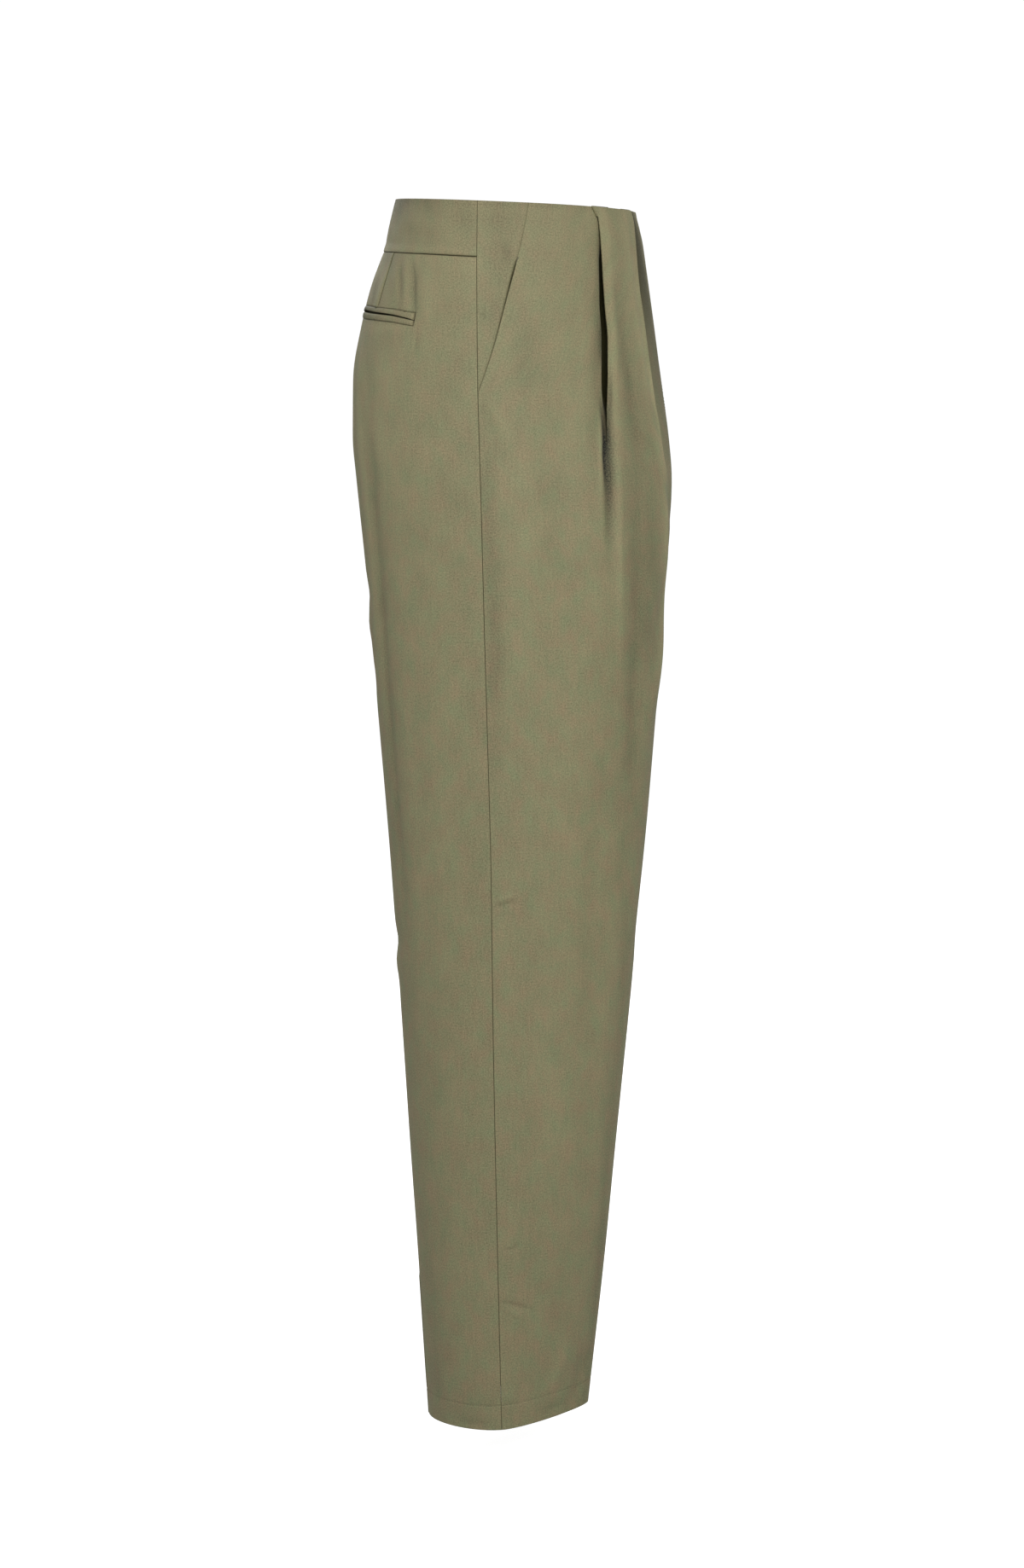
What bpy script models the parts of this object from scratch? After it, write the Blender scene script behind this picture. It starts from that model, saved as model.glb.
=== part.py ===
"""High-waisted pleated trousers, held open as they are worn, with no wearer inside.

Metres, +Z up. The origin is the centre of the waist opening, the front faces -Y and
the wearer's right is at -X. The cloth is a thin wall, and its outer face follows
level sections of the garment: each half section is four quarter curves that meet at
the side seam, the furthest point forward, the furthest point back and the centre.
"""

import math

import bmesh
import bpy
import numpy as np

MM = 0.001

# Cloth and seams
CLOTH = 1.0 * MM  # one layer of cloth
WAISTBAND_CLOTH = 2.0 * MM  # the waistband is a folded double layer
WELT_CLOTH = 0.9 * MM
SEAM_GAP = 0.3 * MM  # between the edges of two pieces that are sewn together

# Lengths, measured down from the waist at the side seam
OUTSEAM = 1040 * MM
WAISTBAND_DEPTH = 46.5 * MM
FLY_LENGTH = 190 * MM

# The waist edge rises towards the back, more so the further back it is, and the hem
# rises towards the front
WAIST_SLOPE = 0.057
WAIST_BOW = 0.05
WAIST_SLOPE_REACH = 320 * MM
HEM_SLOPE = -0.075
HEM_SLOPE_REACH = 180 * MM

# Half sections of the garment in millimetres, from the waist to the hem
SECTION_COLUMNS = (
    "height", "front", "front_x", "front_round", "back", "back_x", "back_round",
    "side", "seam_y",
)
SECTIONS = (
    (10, 101.5, 0, 530, 97.5, 0, 530, 127.5, 28.6),
    (0, 105.3, 0, 530, 100.3, 0, 530, 130.0, 28.6),
    (-10, 109.4, 1, 530, 102.6, 2, 530, 133.8, 28.7),
    (-25, 111.9, 2, 520, 105.6, 4, 530, 139.5, 28.8),
    (-45, 115.0, 4, 505, 109.6, 8, 530, 146.0, 29.0),
    (-75, 119.4, 6, 495, 120.2, 20, 530, 155.0, 28.9),
    (-110, 123.8, 8, 495, 129.2, 38, 530, 163.5, 28.6),
    (-150, 129.2, 14, 505, 135.4, 55, 530, 171.0, 28.1),
    (-200, 135.6, 30, 520, 136.2, 66, 530, 179.0, 26.8),
    (-225, 137.2, 50, 530, 133.8, 72, 530, 183.0, 26.0),
    (-260, 136.2, 70, 530, 130.0, 78, 530, 186.0, 25.0),
    (-300, 133.0, 86, 530, 125.6, 85, 530, 188.5, 24.0),
    (-360, 128.8, 94, 525, 120.0, 92, 530, 189.5, 22.5),
    (-450, 121.2, 98, 515, 112.7, 98, 525, 188.5, 20.0),
    (-550, 112.9, 101, 500, 105.0, 100, 520, 185.5, 17.5),
    (-680, 100.9, 102, 470, 96.4, 101, 510, 180.0, 16.0),
    (-800, 90.0, 103, 420, 88.4, 102, 495, 174.5, 14.0),
    (-920, 79.2, 104, 340, 81.0, 103, 475, 169.0, 11.5),
    (-1050, 66.4, 105, 235, 73.2, 104, 435, 164.0, 8.6),
)

# The centre seams and, below the crotch, the inseam
CENTRE_COLUMNS = ("height", "centre_front", "centre_back", "inner_x")
CENTRES = (
    (10, 101.5, 97.5, 0),
    (0, 105.3, 100.3, 0),
    (-10, 109.3, 102.6, 0),
    (-25, 111.8, 105.6, 0),
    (-45, 114.8, 109.4, 0),
    (-75, 119.1, 119.6, 0),
    (-110, 123.3, 127.2, 0),
    (-150, 128.4, 131.2, 0),
    (-200, 132.6, 127.6, 0),
    (-225, 129.6, 120.4, 0),
    (-245, 121.5, 108.5, 0),
    (-262, 107.0, 91.5, 0),
    (-277, 84.0, 70.0, 0),
    (-289, 52.0, 46.5, 0),
    (-297, 16.0, 25.0, 0),
    (-300, -10.0, 10.0, 0),
    (-330, -9.5, 9.5, 5.5),
    (-380, -9.0, 9.0, 10.5),
    (-450, -8.5, 8.5, 15.0),
    (-550, -8.0, 8.0, 20.5),
    (-680, -7.0, 7.0, 27.5),
    (-800, -6.0, 6.0, 33.5),
    (-920, -5.0, 5.0, 38.5),
    (-1050, -4.0, 4.0, 43.0),
)

# How far back the slanted pocket edge runs, forward of it the front panel begins
POCKET_COLUMNS = ("height", "edge_y")
POCKET_EDGE = (
    (10, -15.0), (0, -13.8), (-22, -10.0), (-47, -4.0), (-73, 3.7), (-123, 17.2),
    (-157, 28.0),
)
POCKET_BOTTOM = -157 * MM
POCKET_LAP = 12 * MM  # the side piece runs on under the front panel

# The two folds of each box pleat, in millimetres: how far forward each fold lies,
# how far the box stands off the cloth beside it at that fold, how far that cloth
# dips under it, how much of the fold is still closed (1 folded, 0 let out), and half
# the width that its cloth spreads over once it is let out
PLEAT_COLUMNS = (
    "height", "outer_y", "outer_rise", "outer_dip", "inner_y", "inner_rise", "closed",
    "let_out",
)
PLEATS = (
    (10, 58.0, 3.3, 0.0, 94.0, 3.3, 1.00, 11),
    (0, 64.0, 3.3, 0.0, 98.8, 3.3, 1.00, 11),
    (-15, 69.2, 3.3, 0.0, 101.8, 3.3, 1.00, 11),
    (-45, 72.6, 3.6, 0.4, 104.0, 3.4, 1.00, 11),
    (-65, 73.4, 4.2, 1.0, 105.4, 3.8, 1.00, 11),
    (-85, 74.0, 5.2, 1.8, 107.8, 4.4, 1.00, 11),
    (-110, 74.0, 6.4, 2.6, 110.4, 5.4, 0.98, 11),
    (-140, 73.8, 7.0, 3.0, 114.2, 5.8, 0.92, 11),
    (-170, 73.2, 6.6, 2.6, 119.0, 5.3, 0.78, 11),
    (-197, 73.0, 5.6, 1.8, 124.0, 4.3, 0.52, 11),
    (-228, 76.6, 4.0, 0.9, 131.4, 2.5, 0.20, 13),
    (-258, 79.0, 2.4, 0.3, 131.6, 0.9, 0.0, 16),
    (-300, 78.5, 1.3, 0.0, 129.0, 0.2, 0.0, 20),
    (-360, 74.0, 0.5, 0.0, 125.5, 0.0, 0.0, 23),
    (-450, 66.0, 0.0, 0.0, 119.5, 0.0, 0.0, 24),
    (-680, 50.0, 0.0, 0.0, 99.5, 0.0, 0.0, 20),
    (-1050, 27.0, 0.0, 0.0, 63.0, 0.0, 0.0, 11),
)
PLEAT_UNDERLAP = 19 * MM  # depth of the fold behind each pleat edge
PLEAT_APPROACH = 9 * MM  # cloth on each side of a fold that leads into it
PLEAT_MOUTH = 0.45 * MM  # space left between the layers of a closed fold
PLEAT_EDGE_RADIUS = 1.4 * MM
PLEAT_POCKET_DIP = 2.6  # how much further the cloth dips at the back of the fold

# The fly: the right front laps over the left at the centre
FLY_LAP = 6 * MM
FLY_RISE = 8 * MM
FLY_END = 20 * MM  # the lap narrows to nothing over this, and then comes level

# Back pockets: two welts, from near the side towards the centre back
WELT_LENGTH = 118 * MM
WELT_START_Y = 80 * MM  # where the end near the side lies
WELT_TOP = -93.0 * MM
WELT_SLOPE = 0.01  # the end near the centre is higher
WELT_HEIGHT = 5.6 * MM
WELT_MOUTH = 0.9 * MM

CLOTH_COLOUR = (0.262, 0.243, 0.150, 1.0)
CLOTH_ROUGHNESS = 0.75


SHARE_COLUMNS = {"closed": 1.0, "front_round": 0.001, "back_round": 0.001}


def read_table(columns, rows):
    """The rows as one array for each named column, in metres but for shares."""
    table = {}
    for name, values in zip(columns, zip(*rows)):
        scale = SHARE_COLUMNS.get(name, MM)
        table[name] = np.array(values, float) * scale
    return table


TABLES = [
    read_table(SECTION_COLUMNS, SECTIONS),
    read_table(CENTRE_COLUMNS, CENTRES),
    read_table(POCKET_COLUMNS, POCKET_EDGE),
    read_table(PLEAT_COLUMNS, PLEATS),
]


def size_at(name, height):
    """A column's value at a height, on a smooth curve that never overshoots."""
    table = next(t for t in TABLES if name in t)
    up, values = table["height"][::-1], table[name][::-1]
    slopes = np.diff(values) / np.diff(up)
    tangents = np.zeros(len(up))
    tangents[0], tangents[-1] = slopes[0], slopes[-1]
    same_way = slopes[1:] * slopes[:-1] > 0
    both = slopes[1:] + slopes[:-1]
    tangents[1:-1][same_way] = (2 * slopes[1:] * slopes[:-1])[same_way] / both[same_way]
    height = min(max(height, up[0]), up[-1])
    i = min(int(np.searchsorted(up, height, side="right")) - 1, len(up) - 2)
    span = up[i + 1] - up[i]
    t = (height - up[i]) / span
    return float(
        values[i] * (1 + 2 * t) * (1 - t) ** 2
        + values[i + 1] * t * t * (3 - 2 * t)
        + span * tangents[i] * t * (1 - t) ** 2
        - span * tangents[i + 1] * t * t * (1 - t)
    )


def smooth_step(t):
    t = min(max(t, 0.0), 1.0)
    return t * t * (3 - 2 * t)


def quarter(start, start_handle, end_handle, end, count=24):
    """Points of a cubic curve from start to end, with the handles as offsets."""
    t = np.linspace(0, 1, count)[:, None]
    a, b, c, d = start, start + start_handle, end + end_handle, end
    return (
        a * (1 - t) ** 3 + 3 * b * t * (1 - t) ** 2 + 3 * c * t * t * (1 - t) + d * t**3
    )


ROUNDNESS = 0.53  # handle length of a quarter curve, as a share of its reach
CENTRE_TURN_START, CENTRE_TURN_END = -195 * MM, -297 * MM


class HalfSection:
    """The outline of one half of the garment at a height, with +X outwards.

    It runs from the side seam round the front or the back to the centre seam, and
    below the crotch to the inseam."""

    def __init__(self, height, face):
        sign = -1.0 if face == "front" else 1.0
        side = np.array([size_at("side", height), size_at("seam_y", height)])
        far = np.array([size_at(face + "_x", height), sign * size_at(face, height)])
        inner_x = max(size_at("inner_x", height), SEAM_GAP / 2)
        centre = np.array([inner_x, sign * size_at("centre_" + face, height)])
        turn = 0.5 * math.pi * smooth_step(
            (CENTRE_TURN_START - height) / (CENTRE_TURN_START - CENTRE_TURN_END)
        )
        reach, inward = abs(far - side), abs(centre - far)
        to_centre = np.array([math.cos(turn), sign * math.sin(turn)])
        centre_handle = ROUNDNESS * (
            inward[0] * math.cos(turn) + inward[1] * math.sin(turn)
        )
        round_share = size_at(face + "_round", height)
        outer = quarter(
            side,
            np.array([0, sign * round_share * reach[1]]),
            np.array([round_share * reach[0], 0]),
            far,
        )
        inner = quarter(
            far,
            np.array([-ROUNDNESS * inward[0], 0]),
            to_centre * centre_handle,
            centre,
        )
        self.points = np.vstack([outer, inner[1:]])
        steps = np.linalg.norm(np.diff(self.points, axis=0), axis=1)
        keep = np.concatenate([[True], steps > 1e-7])
        self.points = self.points[keep]
        steps = np.linalg.norm(np.diff(self.points, axis=0), axis=1)
        self.along = np.concatenate([[0], np.cumsum(steps)])
        self.length = self.along[-1]
        self.end = self.length - SEAM_GAP / 2 * math.sin(turn)
        self.sign = sign
        self.outer_count = len(outer)

    def along_at_y(self, y):
        """How far along the outline its outer quarter reaches this Y."""
        outer_y = self.points[: self.outer_count, 1] * self.sign
        return float(np.interp(y * self.sign, outer_y, self.along[: self.outer_count]))

    def place(self, along, out=0.0):
        """The point at this distance along the outline, moved out from the body. Past
        the centre it runs on over the other half."""
        if along > self.length and self.points[-1, 0] < MM:
            x, y = self.place(2 * self.length - along, out)
            return np.array([-x, y])
        at = np.array([np.interp(along, self.along, self.points[:, i]) for i in (0, 1)])
        step = 1.5 * MM
        low, high = max(along - step, 0.0), min(along + step, self.length)
        ahead = np.array([np.interp(high, self.along, self.points[:, i]) for i in (0, 1)])
        behind = np.array([np.interp(low, self.along, self.points[:, i]) for i in (0, 1)])
        tangent = (ahead - behind) / np.linalg.norm(ahead - behind)
        normal = np.array([tangent[1], -tangent[0]]) * self.sign
        return at + out * normal


def slanted(point, height):
    """A section's point in space, with the slope of the waist edge and the hem."""
    near_waist = smooth_step(1 + height / WAIST_SLOPE_REACH)
    near_hem = smooth_step((-height - OUTSEAM) / HEM_SLOPE_REACH + 1)
    x, y = point
    rise = (WAIST_SLOPE * y + WAIST_BOW * y * y) * near_waist + HEM_SLOPE * y * near_hem
    return x, y, height + rise


def pleat_path(rise, dip, closed, let_out):
    """Offsets (along, out) across a fold, from the cloth that runs under it to the
    box that lies on it. The fold's edge is at 0 along."""
    radius, mouth, deep = PLEAT_EDGE_RADIUS, PLEAT_MOUTH, PLEAT_UNDERLAP
    lowest = -PLEAT_POCKET_DIP * dip
    under_edge = rise - 2 * radius
    folded = [
        (-PLEAT_APPROACH, -0.3 * dip),
        (0.15 * deep, -dip),
        (deep, lowest),
        (deep + 0.4 * mouth, lowest + 0.5 * mouth),
        (deep, lowest + mouth),
        (0.45 * deep, 0.45 * (lowest + mouth) + 0.55 * under_edge),
    ]
    for degrees in (-90, -180, -270):
        angle = math.radians(degrees)
        folded.append(
            (radius + radius * math.cos(angle), rise - radius + radius * math.sin(angle))
        )
    folded.append((PLEAT_APPROACH, rise))
    last = len(folded) - 1
    path = []
    for i, (along, out) in enumerate(folded):
        share = i / last
        open_along = (2 * share - 1) * let_out
        open_out = -0.3 * dip + (rise + 0.3 * dip) * smooth_step(share)
        path.append(
            (
                closed * along + (1 - closed) * open_along,
                closed * out + (1 - closed) * open_out,
            )
        )
    return path


SIDE_STEPS, BOX_STEPS, CENTRE_STEPS = 5, 3, 6


def front_row(height, laps_over=False):
    """Points (along, out) of the front panel at a height, from its outer edge to the
    centre, and the section they belong to."""
    section = HalfSection(height, "front")
    edge = SEAM_GAP / 2
    if height > POCKET_BOTTOM:
        edge = max(edge, section.along_at_y(size_at("edge_y", height)))
    outer = section.along_at_y(-size_at("outer_y", height))
    inner = section.along_at_y(-size_at("inner_y", height))
    closed = size_at("closed", height)
    outer_rise, inner_rise = size_at("outer_rise", height), size_at("inner_rise", height)
    outer_dip, let_out = size_at("outer_dip", height), size_at("let_out", height)
    outer_fold = pleat_path(outer_rise, outer_dip, closed, let_out)
    inner_fold = pleat_path(inner_rise, 0.0, closed, let_out)
    outer_path = [(outer + a, o) for a, o in outer_fold]
    inner_path = [(inner - a, o) for a, o in inner_fold][::-1]

    row = []
    start, dip = outer_path[0]
    for i in range(SIDE_STEPS):
        t = (i / SIDE_STEPS) ** 1.5
        row.append((edge + (start - edge) * t, dip * smooth_step(2 * t - 1)))
    row += outer_path
    for i in range(1, BOX_STEPS):
        t = i / BOX_STEPS
        (a, out_a), (b, out_b) = outer_path[-1], inner_path[0]
        row.append((a + (b - a) * t, out_a + (out_b - out_a) * smooth_step(t)))
    row += inner_path
    lap_share = min(max(1 + (height + FLY_LENGTH) / FLY_END, 0.0), 1.0) * laps_over
    rise_share = min(max(2 + (height + FLY_LENGTH) / FLY_END, 0.0), 1.0) * laps_over
    start, end = inner_path[-1][0], section.end + lap_share * FLY_LAP
    flat = end - 2 * FLY_RISE
    for i in range(1, CENTRE_STEPS + 1):
        row.append((start + (flat - start) * i / CENTRE_STEPS, 0.0))
    lap_out = (CLOTH + SEAM_GAP) * rise_share
    row += [(end - FLY_RISE, lap_out), (end, lap_out)]
    return section, row


def back_row(height, steps):
    """The same for the back panel, from the side seam to the centre back."""
    section = HalfSection(height, "back")
    start = SEAM_GAP / 2
    step = (section.end - start) / steps
    return section, [(start + step * i, 0.0) for i in range(steps + 1)]


def collection_for(name):
    made = bpy.data.collections.new(name)
    bpy.context.scene.collection.children.link(made)
    return made


def cloth_material(name):
    material = bpy.data.materials.new(name)
    material.use_nodes = True
    shader = material.node_tree.nodes["Principled BSDF"]
    shader.inputs["Base Color"].default_value = CLOTH_COLOUR
    shader.inputs["Roughness"].default_value = CLOTH_ROUGHNESS
    shader.inputs["Metallic"].default_value = 0.0
    material.diffuse_color = CLOTH_COLOUR
    return material


def cloth_panel(name, rows, side, collection, thickness=CLOTH, flip=False):
    """One piece of cloth: a grid laid over the rows of points, given its thickness
    inwards. side is -1 for the wearer's right, and 1 for the left."""
    columns = len(rows[0])
    mesh = bpy.data.meshes.new(name)
    sheet = bmesh.new()
    bmesh.ops.create_grid(
        sheet, x_segments=columns - 1, y_segments=len(rows) - 1, size=0.5
    )
    sheet.verts.ensure_lookup_table()
    for r, row in enumerate(rows):
        for c, (x, y, z) in enumerate(row):
            sheet.verts[r * columns + c].co = (side * x, y, z)
    if (side < 0) != flip:
        bmesh.ops.reverse_faces(sheet, faces=sheet.faces[:])
    sheet.to_mesh(mesh)
    sheet.free()
    mesh.shade_smooth()
    mesh.set_sharp_from_angle(angle=math.radians(40))
    mesh.materials.append(cloth_material(name + "_cloth"))
    piece = bpy.data.objects.new(name, mesh)
    collection.objects.link(piece)
    wall = piece.modifiers.new("Wall", "SOLIDIFY")
    wall.thickness = thickness
    wall.offset = -1.0
    wall.use_even_offset = True
    wall.use_quality_normals = True
    return piece


def heights_between(top, bottom, marks):
    """The marks that lie between top and bottom, with both ends."""
    inside = [m for m in marks if bottom + 4 * MM < m < top - 4 * MM]
    return [top, *inside, bottom]


LEG_MARKS = tuple(
    mark * MM
    for mark in (
        -15, -30, -46, -64, -82, -100, -118, -136, -154, -172, -190, -210, -230, -250,
        -268, -283, -294, -300, -312, -335, -370, -420, -490, -580, -690, -800, -900,
        -980,
    )
)
BACK_STEPS = 14


def placed(section, along, out, height):
    return slanted(section.place(along, out), height)


def front_panel(name, side, collection):
    rows = []
    for height in heights_between(0.0, -OUTSEAM, LEG_MARKS):
        section, row = front_row(height, laps_over=side < 0)
        rows.append([placed(section, along, out, height) for along, out in row])
    return cloth_panel(name, rows, side, collection)


def back_panel(name, side, collection):
    rows = []
    top = -WAISTBAND_DEPTH - SEAM_GAP
    for height in heights_between(top, -OUTSEAM, LEG_MARKS):
        section, row = back_row(height, BACK_STEPS)
        rows.append([placed(section, along, out, height) for along, out in row])
    return cloth_panel(name, rows, side, collection, flip=True)


def pocket_side_piece(name, side, collection):
    """The hip piece behind the slanted pocket edge. It starts level with the back at
    the side seam, and runs on under the front panel."""
    rows = []
    under = CLOTH + SEAM_GAP + 0.4 * MM
    for height in heights_between(0.0, POCKET_BOTTOM, LEG_MARKS):
        section = HalfSection(height, "front")
        start = SEAM_GAP / 2
        mouth = max(section.along_at_y(size_at("edge_y", height)), start)
        lap = mouth + POCKET_LAP
        level = smooth_step((mouth - start) / (12 * MM))
        row = []
        for t in (0.0, 0.2, 0.45, 0.7, 1.0):
            along = start + (lap - start) * t
            sunk = smooth_step((along - start) / max(mouth - start - 2 * MM, 1 * MM))
            out = -under * max(sunk, 1 - level)
            row.append(placed(section, along, out, height))
        rows.append(row)
    return cloth_panel(name, rows, side, collection)


def back_waistband(name, collection):
    """One band round the back, from side seam to side seam."""
    rows = []
    for height in (0.0, -15 * MM, -30 * MM, -WAISTBAND_DEPTH):
        section, row = back_row(height, 12)
        half = [placed(section, along, out, height) for along, out in row]
        centre = [placed(section, section.length, 0.0, height)]
        right = [(-x, y, z) for x, y, z in half[:-1]]
        rows.append(right + centre + half[:-1][::-1])
    return cloth_panel(
        name, rows, 1, collection, thickness=WAISTBAND_CLOTH, flip=False
    )


def pocket_welt(name, side, top, collection):
    """One welt of a back pocket, lying on the back panel."""
    rows = []
    for down in (0.0, 1.0):
        row = []
        for i in range(13):
            share = i / 12
            height = top + WELT_SLOPE * WELT_LENGTH * share - down * WELT_HEIGHT
            section = HalfSection(height, "back")
            along = section.along_at_y(WELT_START_Y) + WELT_LENGTH * share
            out = SEAM_GAP + 0.1 * MM + WELT_CLOTH
            row.append(placed(section, along, out, height))
        rows.append(row)
    return cloth_panel(name, rows, side, collection, thickness=WELT_CLOTH, flip=True)


def build():
    for leftover in list(bpy.data.objects):
        bpy.data.objects.remove(leftover)
    trousers = collection_for("pleated_trousers")
    for word, side in (("right", -1), ("left", 1)):
        front_panel("front_" + word, side, trousers)
        back_panel("back_" + word, side, trousers)
        pocket_side_piece("pocket_side_" + word, side, trousers)
        pocket_welt("welt_upper_" + word, side, WELT_TOP, trousers)
        pocket_welt(
            "welt_lower_" + word, side, WELT_TOP - WELT_HEIGHT - WELT_MOUTH, trousers
        )
    back_waistband("back_waistband", trousers)


build()
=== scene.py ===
"""Finish of the pleated high-waisted trousers, in the shape they take on a wearer, with nobody
inside.

Metres, +Z up. The origin is the centre of the waist opening, the front faces -Y and
the wearer's right is at -X. Each cloth piece is a fine grid on the same sections as
the solid that it stands for, with the folds, creases, rolled seam edges and turned
hems of the real cloth.
"""

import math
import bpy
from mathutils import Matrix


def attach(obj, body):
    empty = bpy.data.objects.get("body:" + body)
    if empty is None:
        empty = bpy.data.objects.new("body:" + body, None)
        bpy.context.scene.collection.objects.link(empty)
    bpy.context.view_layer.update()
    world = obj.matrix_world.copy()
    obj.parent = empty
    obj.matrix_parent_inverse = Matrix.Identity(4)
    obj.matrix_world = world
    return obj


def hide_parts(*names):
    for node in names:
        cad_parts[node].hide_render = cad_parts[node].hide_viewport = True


bl_info = {
    "name": "Pleated Trousers",
    "version": (1, 0, 0),
    "blender": (4, 5, 0),
    "location": "View3D > Sidebar > Trousers",
    "description": "Cloth pieces, stitching and stage of a pair of pleated trousers",
    "category": "Add Mesh",
}

import bmesh
import bpy
import numpy as np
from bpy.props import FloatProperty, FloatVectorProperty, PointerProperty
from mathutils import Matrix, Vector

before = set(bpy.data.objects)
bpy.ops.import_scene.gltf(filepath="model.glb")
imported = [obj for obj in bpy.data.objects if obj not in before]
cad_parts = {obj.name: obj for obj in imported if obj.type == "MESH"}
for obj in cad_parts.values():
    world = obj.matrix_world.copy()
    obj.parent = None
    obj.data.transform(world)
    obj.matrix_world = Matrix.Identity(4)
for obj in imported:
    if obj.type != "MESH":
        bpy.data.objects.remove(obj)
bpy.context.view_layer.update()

MM = 0.001

# Lengths down the side seam from the waist
OUTSEAM = 1040 * MM
WAISTBAND_DEPTH = 46.5 * MM
FLY_LENGTH = 190 * MM
WAIST_SLOPE, WAIST_BEND, WAIST_SLOPE_REACH = 0.036, 1.4, 320 * MM
REAR_SEAM_LIFT, REAR_SEAM_REACH = 0.014, 30 * MM
HEM_SLOPE, HEM_BOW, HEM_SLOPE_REACH = -0.075, 0.14, 180 * MM
CENTRE_TURN_START, CENTRE_TURN_END = -195 * MM, -297 * MM
CENTRE_SPACE = 0.05 * MM
ROUNDNESS = 0.53

# Half sections of the garment in millimetres, from the waist to the hem. The columns
# that end in round are thousandths of a curve's reach.
SECTION_COLUMNS = (
    "height", "front", "front_x", "front_round", "back", "back_x", "back_round",
    "side", "seam_y",
)
SECTIONS = (
    (10, 101.5, 0, 530, 97.5, 0, 530, 127.5, 28.6),
    (0, 105.3, 0, 530, 100.3, 0, 530, 130.0, 28.6),
    (-10, 108.4, 1, 530, 102.6, 2, 530, 133.8, 28.7),
    (-25, 111.9, 2, 520, 105.6, 4, 530, 139.5, 28.8),
    (-45, 115.0, 4, 505, 109.9, 8, 530, 146.0, 29.0),
    (-75, 119.4, 6, 495, 120.9, 20, 530, 155.0, 28.9),
    (-110, 124.3, 8, 495, 129.2, 38, 530, 163.5, 28.6),
    (-150, 129.6, 14, 505, 135.4, 55, 530, 171.0, 28.1),
    (-200, 135.6, 30, 520, 135.6, 66, 530, 179.0, 26.8),
    (-225, 136.9, 50, 530, 133.1, 72, 530, 183.0, 26.0),
    (-260, 135.3, 70, 530, 129.3, 78, 530, 186.0, 25.0),
    (-300, 132.2, 86, 530, 124.9, 85, 530, 188.5, 24.0),
    (-360, 127.4, 94, 525, 119.8, 92, 530, 189.5, 22.5),
    (-450, 121.0, 98, 515, 112.3, 98, 525, 188.5, 20.0),
    (-550, 112.9, 101, 500, 104.3, 100, 520, 185.5, 17.5),
    (-680, 101.4, 102, 470, 95.8, 101, 510, 180.0, 16.0),
    (-800, 90.0, 103, 420, 88.4, 102, 495, 174.5, 14.0),
    (-920, 79.0, 104, 340, 80.4, 103, 475, 169.0, 11.5),
    (-1050, 65.6, 105, 235, 72.2, 104, 435, 164.0, 8.6),
)

# The centre seams and, below the crotch, the inseam
CENTRE_COLUMNS = ("height", "centre_front", "centre_back", "inner_x")
CENTRES = (
    (10, 101.5, 97.5, 0), (0, 105.3, 100.3, 0), (-10, 108.2, 102.6, 0),
    (-25, 111.8, 105.6, 0), (-45, 114.8, 109.4, 0), (-75, 119.1, 119.6, 0),
    (-110, 123.9, 127.2, 0), (-150, 128.8, 131.2, 0), (-200, 132.6, 127.6, 0),
    (-225, 129.6, 120.4, 0), (-245, 121.5, 108.5, 0), (-262, 107.0, 91.5, 0),
    (-277, 84.0, 70.0, 0), (-289, 52.0, 46.5, 0), (-297, 16.0, 25.0, 0),
    (-300, -10.0, 10.0, 0), (-330, -9.5, 9.5, 5.5), (-380, -9.0, 9.0, 10.5),
    (-450, -8.5, 8.5, 15.0), (-550, -8.0, 8.0, 20.5), (-680, -7.0, 7.0, 27.5),
    (-800, -6.0, 6.0, 33.5), (-920, -5.0, 5.0, 38.5), (-1050, -4.0, 4.0, 43.0),
)

POCKET_COLUMNS = ("height", "edge_y")
POCKET_EDGE = (
    (10, -15.0), (0, -13.8), (-22, -10.0), (-47, -4.2), (-73, 2.7), (-123, 16.2),
    (-157, 28.0),
)
POCKET_BOTTOM = -157 * MM
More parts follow.
